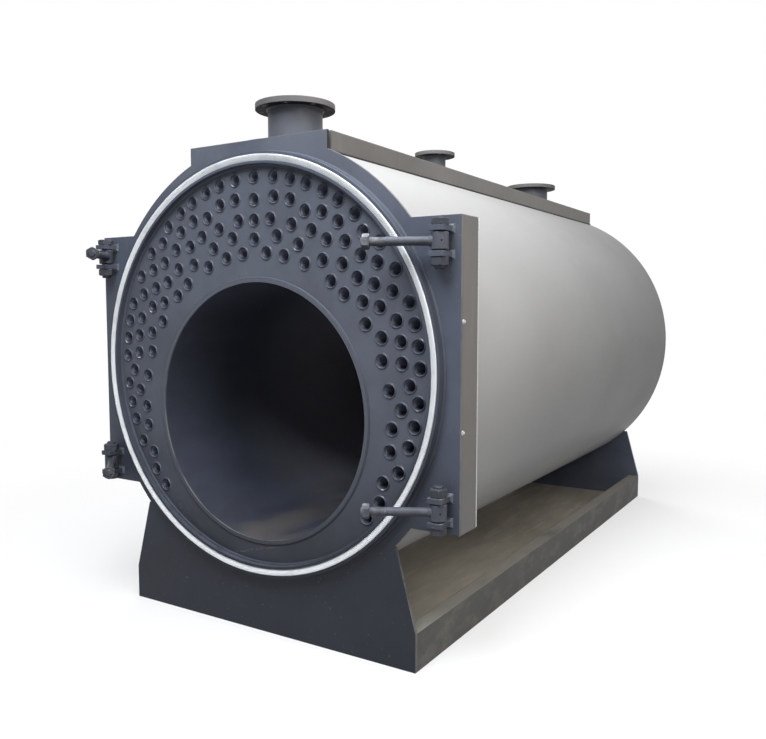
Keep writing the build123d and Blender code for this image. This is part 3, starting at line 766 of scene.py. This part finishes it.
NODE_FINISHES = {
    "plate_paint": ("front_plate", "lug_upper_right", "lug_lower_right"),
    # painted light: the rear plate and flue get the lighter paint
    "rear_paint": ("rear_plate", "flue_spigot"),
    # painted shade: the seat, shell and left lugs get the darker paint
    "seat_paint": ("seat_ring", "boiler_shell", "lug_upper_left", "lug_lower_left"),
    "nozzle_paint": ("flow_nozzle", "safety_nozzle", "return_nozzle"),
    "flange_paint": ("flow_flange", "safety_flange", "return_flange"),
    "tube_sheet_paint": ("tube_bank",),
    "furnace_plate": ("furnace_tube", "furnace_end"),
    "fibre_rope": ("door_gasket",),
    "silver_sheet": ("jacket_left", "jacket_right"),
    "casing_paint": ("ear_box_left", "ear_box_right", "top_cover"),
    "channel_paint": ("base_channel_left", "base_channel_right"),
    "dusty_floor": ("base_floor",),
    "bolt_paint": tuple(f"{part}_{corner}" for part in ("swing_bolt", "swing_nut") for corner in CORNERS),
    "pin_paint": tuple(f"pin_{corner}" for corner in CORNERS),
}


def plain_start():
    """Object mode with nothing selected."""
    if bpy.context.object and bpy.context.object.mode != "OBJECT":
        bpy.ops.object.mode_set(mode="OBJECT")
    bpy.ops.object.select_all(action="DESELECT")


def take(*pieces):
    """Select only these pieces, the first one active."""
    plain_start()
    for piece in pieces:
        piece.select_set(True)
    bpy.context.view_layer.objects.active = pieces[0]


def open_piece(piece):
    """Go into edit mode on one piece with all of it selected."""
    take(piece)
    bpy.ops.object.mode_set(mode="EDIT")
    bpy.ops.mesh.select_all(action="SELECT")


def close_piece(piece):
    """Leave edit mode."""
    bpy.ops.object.mode_set(mode="OBJECT")
    return piece


def trace(name, points):
    """Draw a chain of edges: a plane shrunk to one corner, then extruded from point to point."""
    plain_start()
    bpy.ops.mesh.primitive_plane_add(size=0.001)
    piece = bpy.context.object
    piece.name = name
    open_piece(piece)
    bpy.ops.mesh.merge(type="CENTER")
    bpy.ops.transform.translate(value=points[0])
    for here, there in pairwise(points):
        step = Vector(there) - Vector(here)
        bpy.ops.mesh.extrude_vertices_move(TRANSFORM_OT_translate={"value": step})
    return piece


def sew():
    """Merge corners that coincide and turn all faces outwards."""
    bpy.ops.mesh.select_all(action="SELECT")
    bpy.ops.mesh.remove_doubles(threshold=MERGE)
    bpy.ops.mesh.normals_make_consistent(inside=False)


TURNED = {
    "X": lambda radius, along: (along, radius, 0.0),
    "Y": lambda radius, along: (radius, along, 0.0),
    "Z": lambda radius, along: (radius, 0.0, along),
}
TURN_AXES = {"X": (1.0, 0.0, 0.0), "Y": (0.0, 1.0, 0.0), "Z": (0.0, 0.0, 1.0)}


def lathe(name, profile, steps, axis="Z", centre=(0.0, 0.0, 0.0)):
    """Turn a profile of (radius, place along the axis) points and leave it in edit mode."""
    chain = [Vector(TURNED[axis](*point)) + Vector(centre) for point in profile]
    piece = trace(name, chain)
    bpy.ops.mesh.select_all(action="SELECT")
    bpy.ops.mesh.spin(steps=steps, angle=math.tau, center=centre, axis=TURN_AXES[axis])
    sew()
    return piece


def pick_corners(test):
    """Select, in edit mode, only the corners that pass a test."""
    bpy.ops.mesh.select_mode(type="VERT")
    bpy.ops.mesh.select_all(action="DESELECT")
    mesh = bmesh.from_edit_mesh(bpy.context.object.data)
    for corner in mesh.verts:
        corner.select_set(bool(test(corner)))
    mesh.select_flush_mode()
    bmesh.update_edit_mesh(bpy.context.object.data)


def ripple(steps, axis, centre, depth):
    """Sink every second ring of a turned bead, as the ripples of a weld."""
    flat = {"X": (1, 2), "Y": (0, 2), "Z": (0, 1)}[axis]

    def sunk(corner):
        across, up = (corner.co[side] - centre[side] for side in flat)
        return round(math.atan2(up, across) / math.tau * steps) % 2

    pick_corners(sunk)
    bpy.ops.transform.shrink_fatten(value=-depth)


def apply_modifier(piece, kind, **settings):
    """Add a modifier to a piece and apply it."""
    take(piece)
    modifier = piece.modifiers.new(kind.title(), kind)
    for name, value in settings.items():
        setattr(modifier, name, value)
    bpy.ops.object.modifier_apply(modifier=modifier.name)


def cut(piece, tool, operation):
    """Cut a piece with a tool, or keep what both share, and remove the tool."""
    apply_modifier(piece, "BOOLEAN", object=tool, operation=operation, solver="EXACT")
    bpy.data.objects.remove(tool)


def copy_moved(piece, name, matrix):
    """A copy of a piece with its own mesh, moved in its mesh."""
    copy = piece.copy()
    copy.data = piece.data.copy()
    copy.name = name
    copy.data.transform(matrix)
    bpy.context.collection.objects.link(copy)
    return copy


def join(name, pieces):
    """Join pieces into one."""
    take(*pieces)
    bpy.ops.object.join()
    pieces[0].name = name
    return pieces[0]


def done(piece, finish, body=BODY, angle=35.0):
    """Shade a finished piece, give it its finish and let it ride on its body."""
    take(piece)
    bpy.ops.object.shade_smooth_by_angle(angle=math.radians(angle))
    piece.data.materials.clear()
    piece.data.materials.append(bpy.data.materials[finish])
    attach(piece, body)


def bar(size, place, bevel):
    """Straight bar with rounded edges."""
    plain_start()
    bpy.ops.mesh.primitive_cube_add(size=1.0)
    piece = bpy.context.object
    open_piece(piece)
    bpy.ops.transform.resize(value=size)
    bpy.ops.transform.translate(value=place)
    bpy.ops.mesh.bevel(offset=bevel, segments=2, affect="EDGES")
    return close_piece(piece)


def hexagon(name, flats, low, high):
    """Upright hexagon from low to high with chamfered corners, two of them along X."""
    corner = flats / math.sqrt(3)
    plain_start()
    bpy.ops.mesh.primitive_cylinder_add(
        vertices=6, radius=corner, depth=high - low, location=(0.0, 0.0, (low + high) / 2)
    )
    piece = bpy.context.object
    piece.name = name
    open_piece(piece)
    bpy.ops.transform.rotate(value=math.radians(30.0), orient_axis="Z", center_override=(0.0, 0.0, 0.0))
    close_piece(piece)
    bpy.ops.object.transform_apply(location=True, rotation=True, scale=True)
    face = flats * 0.48
    wide = corner * 1.02
    slope = (wide - face) * math.tan(math.radians(30.0))
    lower = [(0.0, low), (face, low), (wide, low + slope)]
    upper = [(wide, high - slope), (face, high), (0.0, high)]
    cut(piece, close_piece(lathe("chamfer", lower + upper, 48)), "INTERSECT")
    return piece


def fillet(radius, along, out, forward, leg, rise):
    """Closed profile of a fillet weld in the corner at (radius, along).

    out is 1 or -1 where the weld runs out or in from the radius, forward likewise along the axis.
    """
    start = (-WELD_BITE, -WELD_BITE)
    face = [(0.85 * leg, 0.22 * rise), (0.5 * leg, 0.6 * rise), (0.16 * leg, 0.92 * rise)]
    corners = [start, (leg, -WELD_BITE), *face, (-WELD_BITE, rise), start]
    return [(radius + out * across, along + forward * up) for across, up in corners]


class BOILER_OT_finishes(Operator):
    """Make the finishes and give every CAD piece its own"""

    bl_idname = "boiler.finishes"
    bl_label = "Finishes"

    def execute(self, context):
        hues = context.scene.boiler_finishes
        made = {}
        for name, (make, *colours) in FINISHES.items():
            made[name] = make(name, *(getattr(hues, hue) for hue in colours))
        for name, nodes in NODE_FINISHES.items():
            for node in nodes:
                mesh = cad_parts[node].data
                mesh.materials.clear()
                mesh.materials.append(made[name])
        return {"FINISHED"}


class BOILER_OT_rope_gasket(Operator):
    """Lay the lumpy rope of the door seat between the shell's edge and the seat ring"""

    bl_idname = "boiler.rope_gasket"
    bl_label = "Rope gasket"

    def execute(self, context):
        lump = context.scene.boiler_details.rope_lump
        sunk = context.scene.boiler_details.rope_sunk
        inner = SHELL_RADIUS + ROPE_SIDE_GAP
        outer = GASKET_RADIUS - SEAT_GAP
        width = outer - inner
        face = GASKET_FACE + lump / 3
        back = FRONT - ROPE_BACK_GAP
        shares = [(0.0, 1.0), (0.2, 0.72), (0.4, 0.46), (0.6, 0.22)]
        shares += [(0.78, 0.05), (0.9, 0.0), (0.97, 0.1), (1.0, 0.4)]
        crown = [(inner + across * width, face + down * sunk) for across, down in shares]
        profile = [(inner, back), *crown, (outer, back), (inner, back)]
        rope = close_piece(lathe("rope_gasket", profile, 480, "Y", (0.0, 0.0, AXIS)))
        lumps = bpy.data.textures.new("rope_lumps", "CLOUDS")
        lumps.noise_scale = 0.05
        lumps.noise_depth = 3
        rope_face = rope.vertex_groups.new(name="rope_face")
        deepest = face + 1.05 * sunk
        rope_face.add([v.index for v in rope.data.vertices if v.co.y < deepest], 1.0, "REPLACE")
        apply_modifier(
            rope,
            "DISPLACE",
            texture=lumps,
            texture_coords="LOCAL",
            direction="Y",
            strength=lump,
            mid_level=0.5,
            vertex_group=rope_face.name,
        )
        done(rope, "fibre_rope")
        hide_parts("door_gasket")
        return {"FINISHED"}


class BOILER_OT_tube_ends(Operator):
    """Weld the ends of all fire tubes into the front tube sheet"""

    bl_idname = "boiler.tube_ends"
    bl_label = "Tube ends"

    def execute(self, context):
        details = context.scene.boiler_details
        proud = details.tube_proud
        weld = details.tube_weld
        bore = TUBE_BORE_RADIUS - BORE_GAP
        start = (bore, 0.004)
        profile = [
            start,
            (bore, -0.15 * proud),
            (bore + 0.0022, -0.85 * proud),
            (TUBE_RADIUS - 0.0004, -proud),
            (TUBE_RADIUS + 0.0012, -0.75 * proud),
            (TUBE_RADIUS + 0.4 * weld, -0.25 * proud),
            (TUBE_RADIUS + weld, 0.0006),
            start,
        ]
        end = lathe("tube_end", profile, 18, "Y")
        pick_corners(lambda corner: math.hypot(corner.co.x, corner.co.z) > TUBE_RADIUS)
        bpy.ops.transform.vertex_random(offset=TUBE_WELD_WOBBLE, uniform=0.6, normal=0.4, seed=5)
        close_piece(end)
        ends = []
        for number, (across, height) in enumerate(tube_places()):
            place = Matrix.Translation((across, SHEET_FRONT, height))
            turned = Matrix.Rotation(number * GOLDEN_ANGLE, 4, "Y")
            ends.append(copy_moved(end, "tube_end", place @ turned))
        bpy.data.objects.remove(end)
        done(join("tube_ends", ends), "tube_end_paint", angle=50.0)
        return {"FINISHED"}


class BOILER_OT_ring_welds(Operator):
    """Run the rippled welds round the furnace, shell, seat ring, nozzles and flue"""

    bl_idname = "boiler.ring_welds"
    bl_label = "Ring welds"

    def execute(self, context):
        details = context.scene.boiler_details
        leg = details.weld_leg
        shell = (0.0, 0.0, AXIS)
        furnace = (0.0, 0.0, FURNACE_AXIS)
        flue = (0.0, 0.0, middle("flue_spigot").z)
        sheet_beads = [
            ("Y", furnace, fillet(FURNACE_RADIUS, SHEET_FRONT, 1, -1, leg, FURNACE_WELD_RISE)),
            ("Y", shell, fillet(SHEET_RADIUS, SHEET_FRONT, -1, -1, leg, leg)),
        ]
        beads = [
            ("Y", shell, fillet(RING_RADIUS, FRONT, 1, -1, leg, leg)),
            ("Y", flue, fillet(FLUE_RADIUS, REAR, 1, 1, leg, leg)),
        ]
        for name in ("flow", "safety", "return"):
            pipe = half_width(f"{name}_nozzle")
            pipe_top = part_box(f"{name}_nozzle")[1].z
            flange_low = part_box(f"{name}_flange")[0].z
            centre = (0.0, middle(f"{name}_nozzle").y, 0.0)
            for profile in (
                fillet(pipe, flange_low, 1, -1, leg, leg),
                fillet(pipe, pipe_top, -1, 1, PIPE_WELD_LEG, PIPE_WELD_RISE),
                fillet(pipe, COVER_HIGH.z, 1, 1, PIPE_WELD_LEG, COVER_WELD_RISE),
            ):
                beads.append(("Z", centre, profile))
        # painted shade: the welds get the darker paint so they show less light
        done(self.rings("ring_welds", beads, details), "seat_paint", angle=60.0)
        done(self.rings("sheet_welds", sheet_beads, details), "seat_paint", angle=60.0)
        return {"FINISHED"}

    def rings(self, name, beads, details):
        """Turned and rippled beads, joined into one piece."""
        rings = []
        for axis, centre, profile in beads:
            steps = 2 * round(math.tau * profile[0][0] / details.weld_pitch)
            rings.append(lathe("ring_weld", profile, steps, axis, centre))
            ripple(steps, axis, centre, details.weld_ripple)
            close_piece(rings[-1])
        return join(name, rings)


class BOILER_OT_lug_welds(Operator):
    """Weld the lug plates to the front plate"""

    bl_idname = "boiler.lug_welds"
    bl_label = "Lug welds"

    def execute(self, context):
        leg = context.scene.boiler_details.weld_leg
        skirts = []
        for number, corner in enumerate(CORNERS):
            low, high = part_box(f"lug_{corner}")
            bolt_low, bolt_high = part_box(f"swing_bolt_{corner}")
            plate = (high.z - low.z - (bolt_high.z - bolt_low.z) - LUG_CLEARANCE) / 2
            for bottom in (low.z, high.z - plate):
                centre = Vector(((low.x + high.x) / 2, FRONT + LUG_WELD_SINK, bottom + plate / 2))
                plain_start()
                bpy.ops.mesh.primitive_plane_add(size=1.0, rotation=(math.radians(90.0), 0.0, 0.0))
                skirt = bpy.context.object
                bpy.ops.object.transform_apply(location=True, rotation=True, scale=True)
                open_piece(skirt)
                bpy.ops.transform.resize(value=(high.x - low.x + 2 * leg, 1.0, plate + 2 * leg))
                bpy.ops.transform.translate(value=centre)
                bpy.ops.mesh.inset(thickness=leg, depth=leg)
                bpy.ops.mesh.delete(type="ONLY_FACE")
                bpy.ops.mesh.select_all(action="SELECT")
                bpy.ops.mesh.subdivide(number_cuts=5)
                bpy.ops.transform.vertex_random(
                    offset=LUG_WELD_WOBBLE, uniform=0.5, normal=0.5, seed=number + 3
                )
                skirts.append(close_piece(skirt))
        # By that name this is the frame's own material: the finish is plate_paint.001
        done(join("lug_welds", skirts), "plate_paint", angle=60.0)
        return {"FINISHED"}


class BOILER_OT_hinge_pins(Operator):
    """Turn the hinge pins with their chamfered heads and nuts"""

    bl_idname = "boiler.hinge_pins"
    bl_label = "Hinge pins"

    def execute(self, context):
        details = context.scene.boiler_details
        low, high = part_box("lug_upper_right")
        face = (high.z - low.z) / 2
        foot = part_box("pin_upper_right")[0].z - (low.z + high.z) / 2
        radius = details.pin_width / 2
        chamfer = 0.003
        top = face + OVERLAP
        profile = [(0.0, foot), (radius - chamfer, foot), (radius, foot + chamfer), (radius, top), (0.0, top)]
        shank = close_piece(lathe("shank", profile, 32))
        head = hexagon("head", details.pin_flats, face + SEAT_GAP, face + details.pin_head)
        nut = hexagon("nut", details.pin_flats, -face - details.pin_nut, -face - SEAT_GAP)
        pin = join("pin", [shank, head, nut])
        for corner in CORNERS:
            lug = middle(f"lug_{corner}")
            place = Matrix.Translation((lug.x, middle(f"pin_{corner}").y, lug.z))
            if corner.startswith("lower"):
                place = place @ Matrix.Rotation(math.pi, 4, "X")
            copy = copy_moved(pin, f"hinge_pin_{corner}", place)
            # painted shade: the pins get the darker paint
            done(copy, "pin_paint", angle=30.0)
            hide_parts(f"pin_{corner}")
        bpy.data.objects.remove(pin)
        return {"FINISHED"}


class BOILER_OT_swing_bolts(Operator):
    """Make the swing bolts: eye, rod, thread and nut, each turned as it hangs"""

    bl_idname = "boiler.swing_bolts"
    bl_label = "Swing bolts"

    def execute(self, context):
        details = context.scene.boiler_details
        low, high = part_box("swing_bolt_upper_right")
        eye = self.eye(details, (high.z - low.z) / 2)
        rod = self.rod(details)
        thread = self.thread(details)
        end = details.rod_length - details.nut_setback
        nut = hexagon("nut", details.nut_flats, end - details.nut_height, end)
        nut.data.transform(Matrix.Rotation(math.radians(90.0), 4, "Y"))
        bolt = join("bolt", [eye, rod, thread, nut])
        for corner in CORNERS:
            pin = middle(f"pin_{corner}")
            height = middle(f"swing_bolt_{corner}").z
            towards = middle(f"swing_nut_{corner}") - pin
            turned = Matrix.Rotation(math.atan2(towards.y, towards.x), 4, "Z")
            finish = "bolt_paint"
            if corner.endswith("left"):
                turned = turned @ Matrix.Rotation(math.pi, 4, "X")
                # painted shade: the left swing bolts get the darker paint
                finish = "pin_paint"
            place = Matrix.Translation((pin.x, pin.y, height))
            copy = copy_moved(bolt, f"eye_bolt_{corner}", place @ turned)
            done(copy, finish, f"bolt_{corner}", angle=30.0)
            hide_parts(f"swing_bolt_{corner}", f"swing_nut_{corner}")
        bpy.data.objects.remove(bolt)
        return {"FINISHED"}

    def eye(self, details, half):
        """Chamfered barrel with a grease hole, its axis upright."""
        outer = details.eye_width / 2
        inner = details.pin_width / 2 + PIN_GAP
        chamfer = details.eye_chamfer
        start = (inner, -half + chamfer / 2)
        profile = [
            start,
            (inner + chamfer / 2, -half),
            (outer - chamfer, -half),
            (outer, -half + chamfer),
            (outer, half - chamfer),
            (outer - chamfer, half),
            (inner + chamfer / 2, half),
            (inner, half - chamfer / 2),
            start,
        ]
        barrel = close_piece(lathe("eye", profile, 48))
        hole_turn = math.radians(103.0)
        plain_start()
        bpy.ops.mesh.primitive_cylinder_add(
            vertices=16,
            radius=0.003,
            depth=0.03,
            location=(outer * math.cos(hole_turn), outer * math.sin(hole_turn), 0.0),
            rotation=(0.0, math.radians(90.0), hole_turn),
        )
        cut(barrel, bpy.context.object, "DIFFERENCE")
        return barrel

    def rod(self, details):
        """Turned rod along X, flared where it meets the eye."""
        radius = details.rod_width / 2
        root = radius - 0.5 * details.thread_pitch
        end = details.rod_length
        plain_end = end - details.thread_length
        near = details.eye_width / 2 - ROD_SINK
        flare = [(0.005, 0.0), (0.0045, 0.007), (0.002, 0.011), (0.0, 0.017)]
        bevel = 0.002
        profile = [
            (0.0, near),
            *((radius + wider, near + along) for wider, along in flare),
            (radius, plain_end),
            (root, plain_end + bevel),
            (root, end - bevel),
            (root - bevel, end),
            (0.0, end),
        ]
        return close_piece(lathe("rod", profile, 32, "X"))

    def thread(self, details):
        """Screw thread wound round the rod's end."""
        pitch = details.thread_pitch
        radius = details.rod_width / 2
        root = radius - 0.55 * pitch
        start = details.rod_length - details.thread_length + THREAD_START
        turns = int((details.thread_length - THREAD_RUNOUT) / pitch)
        crest = 0.12 * pitch
        points = [
            (start, root, 0.0),
            (start + pitch / 2 - crest, radius, 0.0),
            (start + pitch / 2 + crest, radius, 0.0),
            (start + pitch, root, 0.0),
        ]
        thread = close_piece(trace("thread", points))
        apply_modifier(
            thread,
            "SCREW",
            axis="X",
            steps=20,
            render_steps=20,
            screw_offset=pitch,
            iterations=turns,
            use_merge_vertices=True,
            merge_threshold=MERGE,
        )
        open_piece(thread)
        sew()
        return close_piece(thread)


class BOILER_OT_casing_trim(Operator):
    """Add the casing screws, the bright lips behind the ear boxes, which also stand in for a highlight, and
    the dark strips under the top cover, which paint its shadow
    """

    bl_idname = "boiler.casing_trim"
    bl_label = "Casing trim"

    def execute(self, context):
        details = context.scene.boiler_details
        self.screws(details.screw_width / 2)
        trim = details.trim_width
        seal = details.shadow_strip_width
        lips = []
        shadow_strips = []
        # bright plated lips behind the ear boxes, also standing in for the highlight along their back edges
        for side in RIGHT_AND_LEFT:
            across = side * (EAR_HIGH.x - trim / 2 + TRIM_PROUD)
            place = (across, EAR_HIGH.y + TRIM_BEHIND, (EAR_LOW.z + EAR_HIGH.z) / 2)
            lips.append(bar((trim, TRIM_THICKNESS, EAR_HIGH.z - EAR_LOW.z - END_GAP), place, TRIM_BEVEL))
        done(join("ear_box_lips", lips), "zinc", angle=30.0)
        # painted shadow: dark strips along the top cover's lower edges
        for side in RIGHT_AND_LEFT:
            across = side * (COVER_HIGH.x + 0.3 * seal)
            place = (across, (COVER_LOW.y + COVER_HIGH.y) / 2, COVER_LOW.z)
            shadow_strips.append(bar((seal, COVER_HIGH.y - COVER_LOW.y - END_GAP, seal), place, 0.3 * seal))
        done(join("cover_seals", shadow_strips), "seal_rubber", angle=30.0)
        return {"FINISHED"}

    def screws(self, radius):
        """Screws with washers on the outer sides of the ear boxes."""
        profile = [(radius * share, height) for share, height in WASHER_SHAPE]
        washer = close_piece(lathe("washer", profile, 24))
        head = hexagon("head", radius * 1.15, *SCREW_HEAD)
        screw = join("screw", [washer, head])
        screws = []
        for side in RIGHT_AND_LEFT:
            for height in SCREW_HEIGHTS:
                facing = Matrix.Rotation(side * math.radians(90.0), 4, "Y")
                place = Matrix.Translation((side * EAR_HIGH.x, EAR_LOW.y + SCREW_SETBACK, height))
                screws.append(copy_moved(screw, "screw", place @ facing))
        bpy.data.objects.remove(screw)
        done(join("casing_screws", screws), "zinc", angle=30.0)


class BOILER_OT_stage(Operator):
    """Set the pale floor, the soft lamps and the camera"""

    bl_idname = "boiler.stage"
    bl_label = "Stage"

    def execute(self, context):
        stage = context.scene.boiler_stage
        context.scene.view_settings.view_transform = "Standard"
        self.floor(stage)
        self.sky(context.scene, stage)
        for name, (place, size, hue) in LAMPS.items():
            target = FRONT_TARGET if name == "front" else BOILER_TARGET
            self.lamp(f"{name}_lamp", place, target, size, getattr(stage, f"{name}_power"), hue)
        plain_start()
        turned = (math.radians(CAMERA_TILT), 0.0, math.radians(CAMERA_TURN))
        bpy.ops.object.camera_add(location=CAMERA_PLACE, rotation=turned)
        camera = context.object
        camera.data.sensor_fit = "HORIZONTAL"
        camera.data.sensor_width = SENSOR_WIDTH
        camera.data.lens = stage.lens
        context.scene.camera = camera
        return {"FINISHED"}

    def lamp(self, name, place, target, size, energy, hue):
        """A square soft lamp that points at a target."""
        plain_start()
        turned = (target - Vector(place)).to_track_quat("-Z", "Y").to_euler()
        bpy.ops.object.light_add(type="AREA", location=place, rotation=turned)
        lamp = bpy.context.object
        lamp.name = name
        lamp.data.shape = "SQUARE"
        lamp.data.size = size
        lamp.data.energy = energy
        lamp.data.color = hue

    def floor(self, stage):
        """Pale floor that fades into the white background."""
        plain_start()
        bpy.ops.mesh.primitive_plane_add(size=FLOOR_WIDTH, location=(0.0, 0.0, -FLOOR_DROP))
        floor = bpy.context.object
        floor.name = "studio_floor"
        bpy.ops.object.transform_apply(location=True, rotation=True, scale=True)
        finish = Finish("studio_floor", stage.bounce_colour)
        across, along, _ = finish.axes()
        reach = (across**2 + along**2) ** 0.5
        seen = finish.background_rays()
        finish.coat(seen, stage.floor_colour)
        white = seen * (0.55 + reach.ramp(1.5, 3.6) * 0.45)
        lit = finish.node("ShaderNodeBsdfDiffuse", None, {"Color": finish.shade})
        bright = finish.node("ShaderNodeEmission", None, {"Color": WHITE, "Strength": 1.0})
        blend = finish.node("ShaderNodeMixShader", None, {0: white, 1: lit, 2: bright})
        ending = next(node for node in finish.tree.nodes if node.type == "OUTPUT_MATERIAL")
        finish.feed(ending.inputs["Surface"], blend)
        floor.data.materials.append(finish.material)

    def sky(self, scene, stage):
        """Even soft light, white where it is seen."""
        world = bpy.data.worlds.new("studio_sky")
        world.use_nodes = True
        scene.world = world
        nodes = Nodes(world.node_tree)
        direction = nodes.node("ShaderNodeTexCoord", output="Generated")
        up = nodes.node("ShaderNodeSeparateXYZ", None, {0: direction}, "Z")
        light = nodes.mix(up.ramp(-0.1, 0.9), stage.horizon_colour, stage.sky_colour)
        shade = nodes.mix(nodes.background_rays(), light, WHITE)
        background = next(node for node in world.node_tree.nodes if node.type == "BACKGROUND")
        nodes.feed(background.inputs["Color"], shade)


STEPS = (
    BOILER_OT_finishes,
    BOILER_OT_rope_gasket,
    BOILER_OT_tube_ends,
    BOILER_OT_ring_welds,
    BOILER_OT_lug_welds,
    BOILER_OT_hinge_pins,
    BOILER_OT_swing_bolts,
    BOILER_OT_casing_trim,
    BOILER_OT_stage,
)


class BOILER_PT_steps(Panel):
    """Steps that dress the boiler, in order"""

    bl_label = "Boiler"
    bl_idname = "BOILER_PT_steps"
    bl_space_type = "VIEW_3D"
    bl_region_type = "UI"
    bl_category = "Boiler"

    def draw(self, context):
        for step in STEPS:
            self.layout.operator(step.bl_idname)


GROUPS = {
    "boiler_finishes": BoilerFinishes,
    "boiler_details": BoilerDetails,
    "boiler_stage": BoilerStage,
}


def register():
    """Register the settings, the steps and their panel."""
    for name, group in GROUPS.items():
        bpy.utils.register_class(group)
        setattr(bpy.types.Scene, name, PointerProperty(type=group))
    for step in (*STEPS, BOILER_PT_steps):
        bpy.utils.register_class(step)


def unregister():
    """Remove what register added."""
    for step in (BOILER_PT_steps, *reversed(STEPS)):
        bpy.utils.unregister_class(step)
    for name, group in GROUPS.items():
        delattr(bpy.types.Scene, name)
        bpy.utils.unregister_class(group)


def main():
    """Dress the boiler."""
    register()
    bpy.ops.boiler.finishes()
    bpy.ops.boiler.rope_gasket()
    bpy.ops.boiler.tube_ends()
    bpy.ops.boiler.ring_welds()
    bpy.ops.boiler.lug_welds()
    bpy.ops.boiler.hinge_pins()
    bpy.ops.boiler.swing_bolts()
    bpy.ops.boiler.casing_trim()
    bpy.ops.boiler.stage()


if __name__ == "__main__":
    main()
